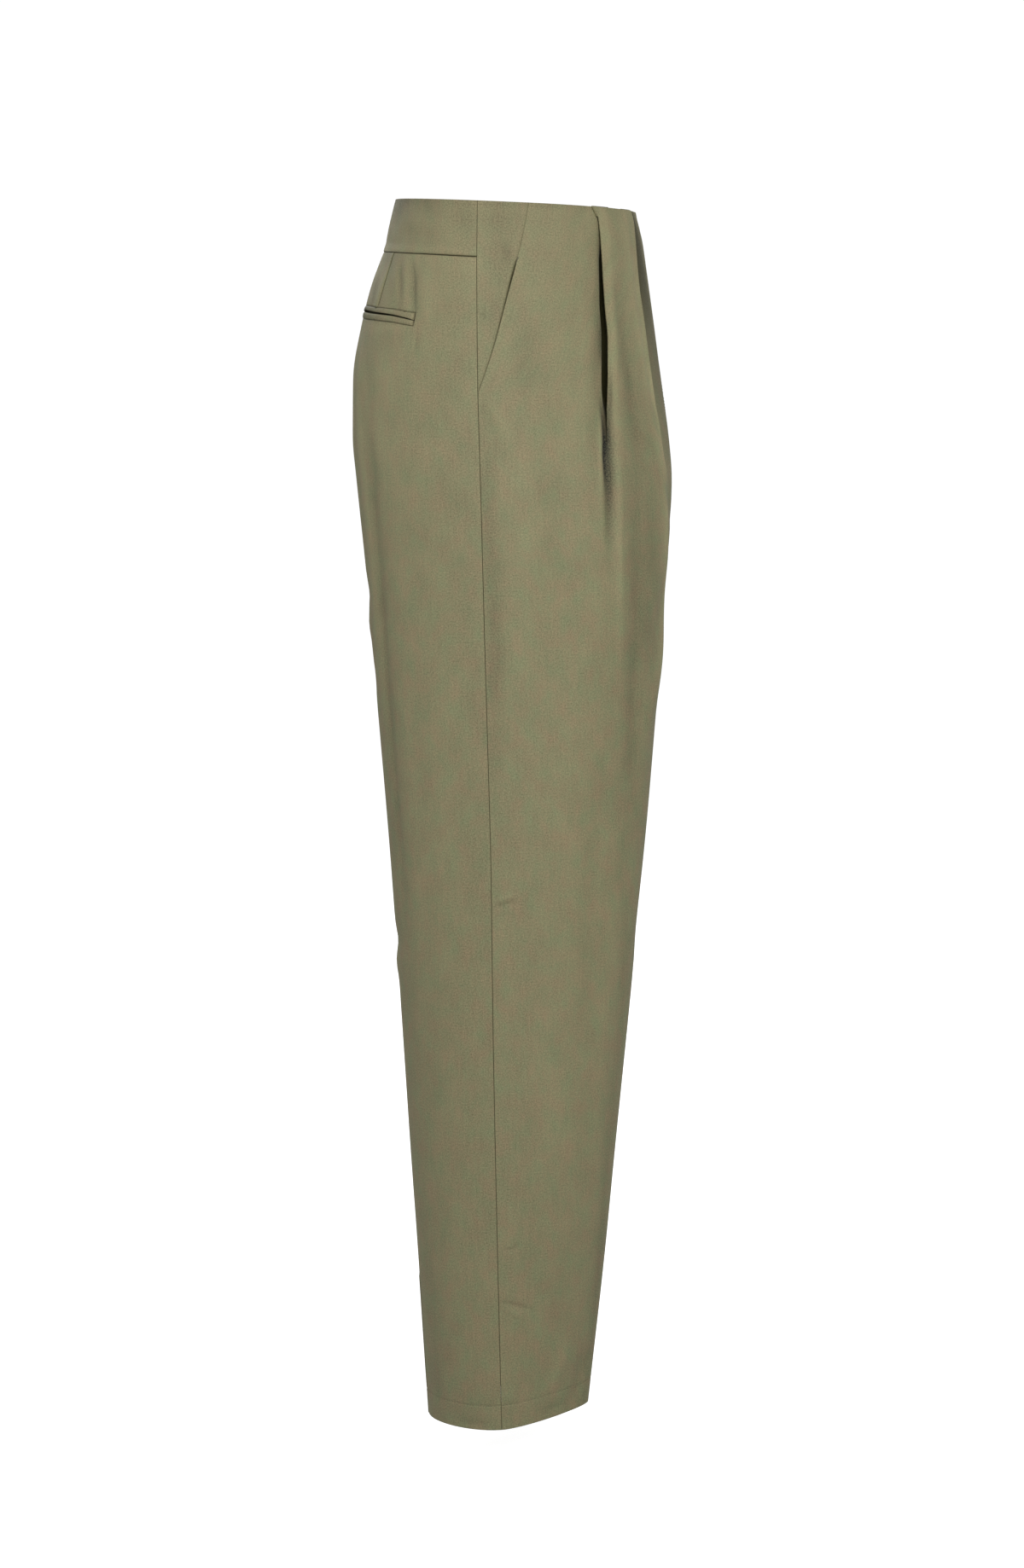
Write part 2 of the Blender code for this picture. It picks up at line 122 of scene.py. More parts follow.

# The two folds of each box pleat. outer_y and inner_y say how far forward each fold
# lies, rise how far the box stands off, dip how far the cloth beside it sinks, shut is
# 1 where a fold is closed and 0 where its cloth has spread over 2 x let_out. hollow
# goes from 0, where the layers lie flat on each other, to 1, where they part round a
# gap of depth. roll is how far the box swells beside its outer fold and sinks beside
# its inner fold, and inner_shade the box's shadow, painted beside its inner fold.
PLEAT_COLUMNS = (
    "height", "outer_y", "outer_rise", "outer_dip", "outer_shut", "outer_hollow",
    "outer_depth", "inner_y", "inner_rise", "inner_shut", "inner_hollow", "inner_depth",
    "let_out", "roll", "inner_shade",
)
PLEATS = (
    (10, 60.0, 3.3, 0.0, 1.0, 0.0, 2, 94.0, 3.3, 1.0, 0.2, 3, 11, 0.0, 0.5),
    (0, 66.0, 3.3, 0.0, 1.0, 0.02, 2, 98.8, 3.3, 1.0, 0.4, 4, 11, 0.1, 0.6),
    (-4, 68.5, 3.3, 0.0, 1.0, 0.05, 3, 100.0, 3.3, 1.0, 0.6, 5, 11, 0.2, 0.8),
    (-8, 70.4, 3.3, 0.0, 1.0, 0.1, 4, 101.0, 3.3, 1.0, 0.8, 7, 11, 0.3, 0.8),
    (-15, 71.5, 3.3, 0.0, 1.0, 0.2, 6, 101.8, 3.3, 1.0, 1.0, 9, 11, 0.4, 0.84),
    (-45, 73.7, 3.5, 0.3, 1.0, 0.75, 12, 104.0, 3.4, 1.0, 1.0, 10, 11, 0.8, 0.88),
    (-65, 74.9, 3.4, 0.4, 1.0, 0.8, 15, 105.4, 3.8, 1.0, 0.9, 9, 11, 1.0, 0.8),
    (-85, 76.1, 3.6, 0.8, 1.0, 0.95, 18, 107.8, 4.4, 1.0, 0.7, 7, 11, 1.2, 0.66),
    (-110, 77.7, 4.2, 1.2, 1.0, 1.0, 19, 110.4, 5.2, 0.98, 0.5, 6, 11, 1.3, 0.48),
    (-140, 77.6, 4.2, 1.1, 0.97, 1.0, 18, 114.2, 5.5, 0.93, 0.4, 5, 11, 1.4, 0.34),
    (-165, 77.1, 3.6, 0.8, 0.88, 0.7, 15, 118.2, 5.2, 0.84, 0.3, 4, 11, 1.3, 0.2),
    (-182, 77.6, 3.1, 0.5, 0.62, 0.4, 12, 121.9, 4.8, 0.74, 0.2, 3, 11, 1.1, 0.12),
    (-197, 77.6, 2.6, 0.3, 0.26, 0.2, 8, 124.5, 4.3, 0.6, 0.2, 3, 11, 0.9, 0.08),
    (-214, 77.2, 2.1, 0.1, 0.08, 0.1, 4, 128.0, 3.4, 0.42, 0.1, 3, 12, 0.7, 0.04),
    (-228, 78.2, 1.9, 0.0, 0.0, 0.0, 2, 131.4, 2.5, 0.22, 0.1, 2, 13, 0.5, 0.0),
    (-258, 79.0, 1.2, 0.0, 0.0, 0.0, 2, 131.6, 0.9, 0.0, 0.0, 2, 16, 0.2, 0.0),
    (-300, 78.5, 0.7, 0.0, 0.0, 0.0, 2, 129.0, 0.2, 0.0, 0.0, 1, 20, 0.0, 0.0),
    (-360, 74.0, 0.3, 0.0, 0.0, 0.0, 2, 125.5, 0.0, 0.0, 0.0, 1, 23, 0.0, 0.0),
    (-450, 66.0, 0.0, 0.0, 0.0, 0.0, 2, 119.5, 0.0, 0.0, 0.0, 1, 24, 0.0, 0.0),
    (-680, 50.0, 0.0, 0.0, 0.0, 0.0, 2, 99.5, 0.0, 0.0, 0.0, 1, 20, 0.0, 0.0),
    (-1050, 27.0, 0.0, 0.0, 0.0, 0.0, 2, 63.0, 0.0, 0.0, 0.0, 1, 11, 0.0, 0.0),
)
PLEAT_UNDERLAP = 23 * MM
NOSE_RADIUS = 1.3 * MM
LAYER_SPACE = 0.5 * MM

# The dart of each back, as distance from the side seam
DART_COLUMNS = ("height", "dart_across")
DART = ((0, 98.5), (-47.4, 106.0), (-68.7, 109.0), (-90, 113.9), (-140, 122), (-1050, 96))
DART_END = -90 * MM

# The lines of each back pocket from its side end (0) to its centre end (1)
WELT_COLUMNS = ("share", "welt_top", "welt_mouth", "welt_low", "welt_open")
WELTS = (
    (0.0, -93.6, -100.1, -104.5, 0.35),
    (0.06, -93.1, -99.0, -104.0, 0.8),
    (0.27, -91.8, -96.8, -102.4, 1.25),
    (0.5, -91.6, -96.3, -102.1, 1.6),
    (0.87, -91.3, -95.7, -101.7, 1.9),
    (1.0, -91.3, -96.6, -101.8, 0.5),
)
WELT_LENGTH = 118 * MM
WELT_START_Y = 80 * MM

# Top, bottom and spacing of the grid's rows, closer where there is fine detail
ROW_BANDS = (
    (0, -12, 1.0), (-12, -45, 2.4), (-45, -51, 0.75), (-51, -89, 2.4),
    (-89, -108, 0.55), (-108, -165, 3.2), (-165, -285, 2.4), (-285, -562, 5.6),
    (-562, -586, 1.5), (-586, -870, 7.0), (-870, -886, 1.6), (-886, -920, 5.0),
    (-920, -941, 1.6), (-941, -1013, 4.5), (-1013, -1023, 0.7), (-1023, -1040, 1.7),
)


# ---------------------------------------------------------------- sections


def read_table(columns, rows, blur, plain=()):
    """Each named column on the first one's own scale, as a function of that scale. The
    values are thousandths but for the plain columns, and blur rounds their corners."""
    shares = columns[0] == "share"
    data = np.array(rows, float).T[:, :: 1 if shares else -1]
    spots = data[0] * (1.0 if shares else MM)
    step = 0.002 if shares else 0.5 * MM
    grid = np.arange(spots[0], spots[-1] + step / 2, step)
    curves = {}
    for name, values in zip(columns[1:], data[1:]):
        values = values * (1.0 if name in plain else MM)
        fine = steady_curve(spots, values, grid)
        curves[name] = (grid, rounded(fine, blur / step) if blur else fine)
    return curves


def steady_curve(spots, values, grid):
    """A cubic through the values that never overshoots them."""
    slopes = np.diff(values) / np.diff(spots)
    tangents = np.zeros(len(spots))
    tangents[0], tangents[-1] = slopes[0], slopes[-1]
    same_way = slopes[1:] * slopes[:-1] > 0
    both = np.where(same_way, slopes[1:] + slopes[:-1], 1.0)
    tangents[1:-1] = np.where(same_way, 2 * slopes[1:] * slopes[:-1] / both, 0.0)
    i = np.clip(np.searchsorted(spots, grid, side="right") - 1, 0, len(spots) - 2)
    span = spots[i + 1] - spots[i]
    t = np.clip((grid - spots[i]) / span, 0, 1)
    return (
        values[i] * (1 + 2 * t) * (1 - t) ** 2
        + values[i + 1] * t * t * (3 - 2 * t)
        + span * tangents[i] * t * (1 - t) ** 2
        - span * tangents[i + 1] * t * t * (1 - t)
    )


def rounded(values, steps):
    """The values averaged over their neighbours, running straight on at both ends."""
    reach = int(3 * steps) + 1
    weights = np.exp(-0.5 * (np.arange(-reach, reach + 1) / steps) ** 2)
    before = 2 * values[0] - values[1 : reach + 1][::-1]
    after = 2 * values[-1] - values[-reach - 1 : -1][::-1]
    padded = np.concatenate([before, values, after])
    return np.convolve(padded, weights / weights.sum(), mode="valid")


SHARES = ("outer_shut", "outer_hollow", "inner_shut", "inner_hollow", "inner_shade")
CURVES = {
    **read_table(SECTION_COLUMNS, SECTIONS, 6 * MM),
    **read_table(CENTRE_COLUMNS, CENTRES, 3.5 * MM),
    **read_table(POCKET_COLUMNS, POCKET_EDGE, 2 * MM),
    **read_table(PLEAT_COLUMNS, PLEATS, 2.5 * MM, SHARES),
    **read_table(DART_COLUMNS, DART, 4 * MM),
    **read_table(WELT_COLUMNS, WELTS, 0),
}


def size_at(name, spot):
    grid, values = CURVES[name]
    return np.interp(spot, grid, values)


def smooth_step(t):
    t = np.clip(t, 0.0, 1.0)
    return t * t * (3 - 2 * t)


def mixed(a, b, share):
    return a + (b - a) * share


class HalfOutline:
    """The outlines of one half of the garment at many heights, with +X outwards. Each
    runs from the side seam round the front or back to the centre seam or inseam."""

    SAMPLES = 260

    def __init__(self, heights, face):
        self.sign = sign = -1.0 if face == "front" else 1.0
        h = np.asarray(heights, float)
        side = np.stack([size_at("side", h), size_at("seam_y", h)], 1)
        far = np.stack([size_at(face + "_x", h), sign * size_at(face, h)], 1)
        inner_x = np.maximum(size_at("inner_x", h), CENTRE_SPACE)
        centre = np.stack([inner_x, sign * size_at("centre_" + face, h)], 1)
        turn = 0.5 * math.pi * smooth_step(
            (CENTRE_TURN_START - h) / (CENTRE_TURN_START - CENTRE_TURN_END)
        )
        reach, inward = abs(far - side), abs(centre - far)
        roundness = size_at(face + "_round", h)
        handle = ROUNDNESS * (inward[:, 0] * np.cos(turn) + inward[:, 1] * np.sin(turn))
        none = np.zeros_like(h)
        outer = self.quarter(
            side,
            np.stack([none, sign * roundness * reach[:, 1]], 1),
            np.stack([roundness * reach[:, 0], none], 1),
            far,
        )
        inner = self.quarter(
            far,
            np.stack([-ROUNDNESS * inward[:, 0], none], 1),
            np.stack([np.cos(turn), sign * np.sin(turn)], 1) * handle[:, None],
            centre,
        )
        points = np.concatenate([outer, inner[:, 1:]], 1)
        steps = np.linalg.norm(np.diff(points, axis=1), axis=2)
        along = np.concatenate([np.zeros((len(h), 1)), np.cumsum(steps, axis=1)], 1)
        self.length = along[:, -1]
        shares = np.linspace(0, 1, self.SAMPLES)
        self.points = np.empty((len(h), self.SAMPLES, 2))
        for r in range(len(h)):
            for axis in (0, 1):
                self.points[r, :, axis] = np.interp(
                    shares * self.length[r], along[r], points[r, :, axis]
                )
        tangents = np.gradient(self.points, axis=1)
        self.tangents = tangents / np.linalg.norm(tangents, axis=2, keepdims=True)
        outer_length = along[:, outer.shape[1] - 1]
        self.far_sample = (outer_length / self.length * (self.SAMPLES - 1)).astype(int)

    @staticmethod
    def quarter(start, start_handle, end_handle, end, count=90):
        t = np.linspace(0, 1, count)[None, :, None]
        a, b = start[:, None], (start + start_handle)[:, None]
        c, d = (end + end_handle)[:, None], end[:, None]
        return a * (1 - t) ** 3 + 3 * b * t * (1 - t) ** 2 + 3 * c * t * t * (1 - t) + d * t**3

    def along_at_y(self, y):
        y = np.broadcast_to(y, self.length.shape)
        found = np.empty(len(y))
        for r, stop in enumerate(self.far_sample + 1):
            found[r] = np.interp(
                y[r] * self.sign,
                self.points[r, :stop, 1] * self.sign,
                np.arange(stop) * self.length[r] / (self.SAMPLES - 1),
            )
        return found

    def place(self, along, out):
        """Points at these distances along each outline, moved out from the body. Past
        either end they run straight on."""
        length = self.length[:, None]
        kept = np.clip(along, 0, length)
        spot = kept / length * (self.SAMPLES - 1)
        i = np.minimum(spot.astype(int), self.SAMPLES - 2)
        share = (spot - i)[..., None]
        rows = np.arange(len(self.length))[:, None]
        at = mixed(self.points[rows, i], self.points[rows, i + 1], share)
        tangent = mixed(self.tangents[rows, i], self.tangents[rows, i + 1], share)
        tangent /= np.linalg.norm(tangent, axis=2, keepdims=True)
        normal = np.stack([tangent[..., 1], -tangent[..., 0]], 2) * self.sign
        return at + (along - kept)[..., None] * tangent + out[..., None] * normal


def in_space(flat_points, heights):
    """Section points in space, with the slope of the waist edge and the hem."""
    h = np.broadcast_to(np.asarray(heights)[:, None], flat_points.shape[:2])
    y = flat_points[..., 1]
    near_waist = smooth_step(1 + h / WAIST_SLOPE_REACH)
    near_hem = smooth_step((-h - OUTSEAM) / HEM_SLOPE_REACH + 1)
    lift = REAR_SEAM_LIFT * np.exp(-(((h + WAISTBAND_DEPTH) / REAR_SEAM_REACH) ** 2))
    rise = lift * np.maximum(y, 0) + (WAIST_SLOPE + WAIST_BEND * y * y) * y * near_waist
    rise = rise + (HEM_SLOPE * y + HEM_BOW * y * y) * near_hem
    return np.concatenate([flat_points, (h + rise)[..., None]], 2)


def cloth_rows(top, bottom, turn_top, turn_bottom, radius):
    """Heights of the rows from top to bottom, and how far inside the outer face each
    lies: an edge with a turn folds over with this radius and runs that far back."""
    heights = [top]
    for band_top, band_bottom, spacing in ROW_BANDS:
        a, b = min(band_top * MM, top), max(band_bottom * MM, bottom)
        if a - b > 0.2 * MM:
            count = max(int(math.ceil((a - b) / (spacing * MM))), 1)
            heights += list(np.linspace(a, b, count + 1)[1:])
    heights = np.array(heights)
    inset = np.zeros(len(heights))
    angles = np.radians([30, 60, 90, 120, 150, 180])
    for turn, edge, way in ((turn_top, top, 1), (turn_bottom, bottom, -1)):
        if turn:
            bend = edge - way * radius
            heights = np.minimum(way * heights, way * bend) * way
            more = [bend + way * radius * np.sin(angles)]
            more.append(edge - way * np.linspace(radius, turn, 7)[1:])
            more_inset = [radius * (1 - np.cos(angles)), np.full(6, 2 * radius)]
            heights = np.concatenate([heights[::way][::-1], *more])[::-way]
            inset = np.concatenate([inset[::way][::-1], *more_inset])[::-way]
    return heights, inset


# ---------------------------------------------------------------- folds and creases

ROLL_SHARES = (0.0, 0.1, 0.28, 0.5, 0.75, 1.0)


def pleat_fold(heights, fold, bulge, count):
    """Columns (along, out, painted shade) across the outer or inner fold for each row,
    from the cloth beside it to the box that lies on it. The fold's own edge is at 0
    along."""
    rise, shut, hollow, depth = (
        size_at(f"{fold}_{size}", heights) for size in ("rise", "shut", "hollow", "depth")
    )
    dip = size_at("outer_dip", heights) * (fold == "outer")
    roll = size_at("roll", heights) * bulge
    r, deep, space = NOSE_RADIUS, PLEAT_UNDERLAP, LAYER_SPACE
    c = r * math.sqrt(0.5)
    low, top, under = -2.6 * dip, -2.6 * dip + space, rise - 2 * r
    nose = [
        (r, under), (r - c, rise - r - c), (0, rise - r), (r - c, rise - r + c), (r, rise),
        (3.5 * MM, rise + 0.35 * roll), (6.5 * MM, rise + roll),
        (10 * MM, rise + 0.75 * roll), (14 * MM, rise + 0.1 * roll),
    ]
    lapped = [
        (-14 * MM, 0), (-9 * MM, -0.3 * dip), (-4 * MM, -0.6 * dip), (0, -0.9 * dip),
        (4 * MM, -1.1 * dip), (9 * MM, -1.5 * dip), (14 * MM, mixed(-1.9 * dip, low, 0.3)),
        (deep - MM, low), (deep, low + 0.15 * MM), (deep, top - 0.15 * MM),
        (deep - MM, top), (14 * MM, mixed(top, under, 0.35)),
        (8 * MM, mixed(top, under, 0.7)), (3.5 * MM, mixed(top, under, 0.95)),
    ] + nose
    parted = [
        (-14 * MM, 0), (-9 * MM, -0.2 * MM), (-5 * MM, -0.7 * MM), (-2.4 * MM, -1.6 * MM),
        (-0.7 * MM, -3.2 * MM), (0.5 * MM, -0.35 * depth), (1.6 * MM, -0.65 * depth),
        (2.8 * MM, -0.9 * depth), (4.2 * MM, -depth), (5.8 * MM, -0.9 * depth),
        (6.8 * MM, -0.65 * depth), (6.9 * MM, -0.35 * depth),
        (5.6 * MM, mixed(-0.1 * depth, under, 0.4)),
        (3.4 * MM, mixed(-0.1 * depth, under, 0.85)),
    ] + nose
    last = len(lapped) - 1
    along, out = [], []
    for i, (flat, gap) in enumerate(zip(lapped, parted)):
        spread = (2 * i / last - 1) * size_at("let_out", heights)
        level = rise * smooth_step(i / last)
        along.append(mixed(spread, mixed(flat[0], gap[0], hollow), shut))
        out.append(mixed(level, mixed(flat[1], gap[1], hollow), shut))
    # Shade painted into the fold's hollow under the box, fading out as the fold opens
    spot, shut = np.arange(last + 1)[None], shut[:, None]
    shade = smooth_step((spot - 3 - 4 * (1 - shut)) / 3) * smooth_step((15 - spot) / 3)
    shade = shade * smooth_step((shut - 0.35) / 0.5)
    spots = np.linspace(0, last, count)
    i = np.minimum(spots.astype(int), last - 1)
    columns = []
    for values in (np.array(along).T, np.array(out).T, shade):
        fine = mixed(values[:, i], values[:, i + 1], (spots - i)[None])
        for _ in range(2):
            fine[:, 1:-1] = 0.25 * (fine[:, :-2] + 2 * fine[:, 1:-1] + fine[:, 2:])
        columns.append(fine)
    return columns


def soft_line(line, pieces=5):
    """A crease's own points in metres, on a curve through the ones given in mm."""
    p = np.array(line, float) * MM
    if len(p) < 3:
        return p
    p = np.concatenate([[2 * p[0] - p[1]], p, [2 * p[-1] - p[-2]]])
    fine = []
    for i in range(1, len(p) - 2):
        for t in np.arange(pieces) / pieces:
            fine.append(
                0.5 * (
                    2 * p[i] + (p[i + 1] - p[i - 1]) * t
                    + (2 * p[i - 1] - 5 * p[i] + 4 * p[i + 1] - p[i + 2]) * t * t
                    + (3 * p[i] - p[i - 1] - 3 * p[i + 1] + p[i + 2]) * t**3
                )
            )
    return np.array([*fine, p[-2]])


def traced(across, heights, creases, column):
    """The sum of soft lines on the cloth, each as strong as this column says: 1 for
    how far they move the cloth out, in millimetres, 2 for the light and shade painted
    along them in per cent."""
    h = np.broadcast_to(heights[:, None], across.shape)
    spot = np.stack([across, h], 2)
    total = np.zeros(across.shape)
    for crease in creases:
        width, strength, p = crease[0] * MM, crease[column], soft_line(crease[3:])
        if not strength:
            continue
        lengths = np.linalg.norm(np.diff(p, axis=0), axis=1)
        starts = np.concatenate([[0], np.cumsum(lengths)])
        reach = 3.2 * width
        near = (h > p[:, 1].min() - reach) & (h < p[:, 1].max() + reach)
        near &= (across > p[:, 0].min() - reach) & (across < p[:, 0].max() + reach)
        q = spot[near]
        best, share = np.full(len(q), 1e9), np.zeros(len(q))
        for a, b, start, length in zip(p[:-1], p[1:], starts, lengths):
            t = np.clip(((q - a) @ (b - a)) / length**2, 0, 1)
            d = np.linalg.norm(q - a - t[:, None] * (b - a), axis=1)
            closer = d < best
            best = np.where(closer, d, best)
            share = np.where(closer, (start + t * length) / starts[-1], share)
        fade = np.sin(math.pi * np.clip(share, 0.02, 0.98)) ** 0.6
        total[near] += strength * fade * np.exp(-((best / width) ** 2))
    return total


def varied(creases, seed):
    """Like creases for the other side, each a little moved, wider and weaker."""
    random = np.random.default_rng(seed)
    found = []
    for width, depth, tone, *line in creases:
        aside, up, wide, weak = random.uniform(-1, 1, 4)
        moved = [(a + 1.2 * aside, h + 7 * up) for a, h in line]
        weak = 0.85 + 0.15 * weak
        found.append((width * (1.08 + 0.1 * wide), depth * weak, tone * weak, *moved))
    return found


# Creases of each panel: width and depth in millimetres, painted light and shade in per
# cent, then the line's points as millimetres (across from the side seam, height). A
# depth below 0 is a trough, a tone below 0 a line of painted shade, above 0 a highlight.
FRONT_CREASES = (
    (13, 0, -5, (-10, -10), (20, -9), (50, -9), (80, -12)),
    (22, 0, 4, (48, -700), (48, -760), (44, -850)),
    (9, 0, 5, (94, -960), (103, -1030), (106, -1060)),
    (7, 0, -9, (112, -840), (102, -924), (90, -1034), (86, -1080)),
    (4, 0, -6, (109, -70), (111, -92), (111, -118)),
    (4.6, 1.5, 8, (131, -150), (127, -196), (122, -254), (120.4, -325), (119.5, -390)),
    (2.4, -1.6, -54, (112.4, -158), (114.4, -182), (112.4, -204), (110.2, -228)),
    (4.4, -3, -52, (117.5, -170), (117.6, -190), (114.8, -214), (112.8, -236), (110, -286)),
    (2.4, -0.4, -16, (113.6, -94), (114.6, -112), (113.6, -132)),
    (2.6, 0, -48, (117, -88), (118, -112), (116.6, -132)),
    (2.2, 0, -17, (120, -130), (119.4, -150), (118.6, -176)),
    (8, 0, 8, (177, -232), (181, -262), (180, -306)),
    (7, 0, -5, (131, -244), (130, -280), (129, -326)),
    (3, 0, -12, (118.4, -192), (116.4, -216), (114.6, -248)),
    (2.6, 0, 20, (108.2, -176), (106.8, -210), (104.6, -238)),
    (6, 0, -6, (103, -44), (105, -90), (104, -130), (101, -180), (98, -230), (96, -275)),
    (16, 0, 4, (76, -84), (78, -140), (77, -210)),
    (6, 0, 10, (193, -212), (196, -240), (196, -290)),
    (4, -1, -18, (112.8, -202), (111.6, -222), (110.6, -244)),
    (6, 0, -7, (142, -126), (144, -148), (146, -170)),
    (7, 0, -6, (133, -192), (133, -220), (131, -256)),
    (10, 0.4, 9, (184, -296), (184, -340), (178, -430)),
    (8, -1.4, -19, (134, -68), (138, -92), (141, -114), (144.5, -148), (148, -184),
     (152, -230)),
    (11, 0.4, 16, (146, 30), (149, -20), (155, -50), (160, -84), (163, -112)),
    (7, 0.4, 20, (162, -84), (168, -120), (172, -150), (175, -172)),
    (10, -2.2, -21, (144, -180), (143, -220), (142, -256), (139.5, -326), (136, -400),
     (132, -520)),
    (11, -1, -15, (164, -184), (163, -225), (158, -300), (153, -390)),
    (7, 1.2, 28, (174, -172), (183, -206), (187, -236), (189, -300), (187, -350), (176, -420)),
    (9, 0, -5, (112, -340), (116, -440), (117, -540), (116, -600)),
    (9, 0, -11, (131, -590), (127, -700), (118, -770), (109, -850), (98, -1010), (95, -1080)),
    (6, 0, 5, (114, -590), (115, -640), (113, -700)),
    (24, 0, 5, (72, -230), (65, -394), (58, -600), (54, -760), (52, -900)),
    (12, 0, -10, (44, -92), (38, -130), (34, -175)),
    (3, 0, -11, (-40, -1.2), (50, -1.2), (130, -1.2)),
    (5, -0.4, -14, (115, -40), (114, -90), (111, -130), (109, -172)),
    (8.5, -1, -17, (3, -150), (5, -205), (5, -270), (8, -364), (3, -500)),
    (13, 1.2, 3, (30, -160), (38, -240), (36, -330), (30, -440)),
    (3.5, 0.7, 5, (2, -156), (16, -174), (27, -200)),
    (3.5, -0.6, -5, (2, -166), (13, -186), (20, -218)),
    (9, 1, 3, (98, -100), (97, -150), (97, -200)),
    (16, -1.4, -4, (60, -150), (66, -260), (60, -350), (58, -430)),
    (11, -1.2, -3, (104, -440), (92, -540), (84, -640), (80, -720)),
    (9, 1, 4, (118, -520), (108, -640), (100, -760), (96, -860)),
    (10, -0.6, -6, (22, -2), (18, -12), (8, -14)),
    (2, -0.9, -8, (3, -582), (11, -579.5), (21, -576)),
    (2.4, 0.8, 6, (5, -577), (12, -574.5), (20, -571)),
    (2, -0.6, -6, (4, -688), (9, -686.5), (14, -684)),
    (2.2, -0.6, -6, (14, -789), (19, -786), (25, -785)),
    (2, -0.8, -7, (5, -880), (12, -879.5), (20, -876)),
    (2, -0.9, -9, (1, -925), (15, -929.6), (31, -936)),
    (2.8, 0.8, 7, (8, -932), (14, -937), (22, -940)),
    (4, 0.8, 6, (2, -1006), (7, -1010), (14, -1012)),
    (3.5, -0.7, -6, (40, -1032), (50, -1032), (62, -1029)),
    (8, -1.6, -8, (66, -1036), (80, -1016), (86, -985)),
    (7, 1.4, 7, (44, -1018), (56, -998), (68, -965)),
    (7, -0.8, -6, (150, -815), (150, -834), (147, -860)),
    (10, -1, -4, (30, -760), (36, -840), (34, -930)),
    (14, -1.6, -6, (205, -300), (170, -352), (140, -400)),
    (10, 1.6, 5, (212, -335), (180, -390), (150, -450)),
    (12, -1.4, -5, (190, -520), (170, -585), (150, -640)),
    (7, -1, -5, (168, -860), (150, -905), (136, -950)),
    (7, -1.2, -6, (178, -215), (192, -240), (216, -268)),
)
BACK_CREASES = (
    (3, -1.5, -24, (66.6, -53), (63.2, -63), (60.2, -76), (57.8, -99)),
    (4, 1, 14, (78, -50), (73, -66), (70, -80), (68.5, -98)),
    (2.6, -0.9, -10, (86, -56), (81, -70), (78, -84)),
    (4, 0.6, 4, (96, -56), (89, -68), (85, -84)),
    (8, 1, 11, (47, -48), (46, -74), (44, -104)),
    (8, 0, -21, (148, -42), (126, -48), (100, -56)),
    (8, 0, -22, (138, -62), (135, -80), (130, -98)),
    (9, 0, 7, (104, -68), (99, -82), (90, -94)),
    (14, 0, -4, (22, -56), (21, -100), (22, -136), (28, -160)),
    (8, 0, 13, (126, -138), (117, -166), (110, -196)),
    (6, 0, -5, (103, -194), (101, -214), (100, -238)),
    (26, 0, 3, (90, -120), (85, -200), (78, -300), (70, -380)),
    (8, 0, 10, (78, -49), (60, -50), (40, -50)),
    (7, 0, 13, (137, -128), (132, -190), (126, -240), (121, -290)),
    (4, 0, 14, (58, -106), (84, -106.5), (108, -108), (140, -110)),
    (16, 0, 7, (92, -96), (90, -120), (88, -160), (86, -230)),
    (18, 0, -4, (30, -100), (26, -150), (25, -200), (25, -270), (27, -340)),
    (16, 0, 5, (46, -360), (49, -466), (52, -560), (54, -640), (56, -700)),
    (9, 0, -9, (76, -850), (72, -916), (66, -1020), (64, -1060)),
    (20, 0, -5, (40, -960), (36, -1010), (34, -1060)),
    (5, 0.8, 6, (114, -64), (119, -84), (118, -110)),
    (2.4, -0.8, -8, (54, -106), (55, -114), (56, -130)),
    (5, -1.4, -12, (110, -186), (107, -222), (108, -256), (104, -330), (99, -440), (90, -600)),
    (8, 1.4, 19, (137, -118), (134, -168), (130, -200), (124, -260), (118, -340), (112, -450)),
    (8, 0.6, 8, (104, -112), (102, -146), (102, -180), (100, -212), (97, -280)),
    (13, 0.6, 6, (86, -230), (80, -350), (75, -468), (69, -576), (64, -700)),
    (7, 0, -8, (106, -840), (102, -900), (98, -970), (94, -1060)),
    (15, 0, -5, (12, -46), (10, -120), (11, -240), (10, -420), (8, -700), (8, -950)),
    (12, -0.8, -3, (60, -330), (64, -480), (62, -620), (60, -760)),
    (5, -0.6, -6, (0, -88), (3, -95), (8, -100)),
    (4.5, 0.7, 5, (3, -561), (7, -565), (12, -567)),
    (5, -0.7, -7, (3, -1010), (8, -1017), (18, -1018)),
    (3, -0.7, -6, (12, -1034), (24, -1035), (40, -1033)),
    (6, -0.8, -6, (58, -1022), (66, -1014), (72, -1000)),
    (9, -1.2, -4, (88, -1030), (80, -1005), (76, -965)),
    (10, -3, -9, (232, -262), (205, -292), (168, -318), (138, -330)),
    (9, 2.4, 7, (236, -282), (208, -318), (172, -346), (142, -360)),
    (11, -2.2, -7, (228, -330), (196, -368), (162, -392), (136, -404)),
    (12, -1.8, -5, (205, -470), (182, -540), (160, -585)),
    (10, -2, -6, (190, -590), (160, -612), (128, -622), (100, -622)),
    (9, 1.6, 5, (190, -612), (160, -634), (128, -644), (104, -645)),
    (9, -1.6, -5, (184, -652), (158, -664), (130, -668)),
    (9, -1.2, -4, (160, -900), (140, -930), (118, -942)),
)
POCKET_SIDE_CREASES = (
    (4, -0.8, -9, (21, -34), (26, -42), (27, -52)),
    (3.5, -0.6, -7, (2, -89), (4, -93), (8, -96)),
    (15, 0, -12, (14, 40), (20, -10), (22, -60), (14, -110), (4, -150)),
    (3, 0, -11, (-20, -1.2), (20, -1.2), (60, -1.2)),
    (11, 0, -7, (-20, -12), (10, -13), (50, -13)),
)
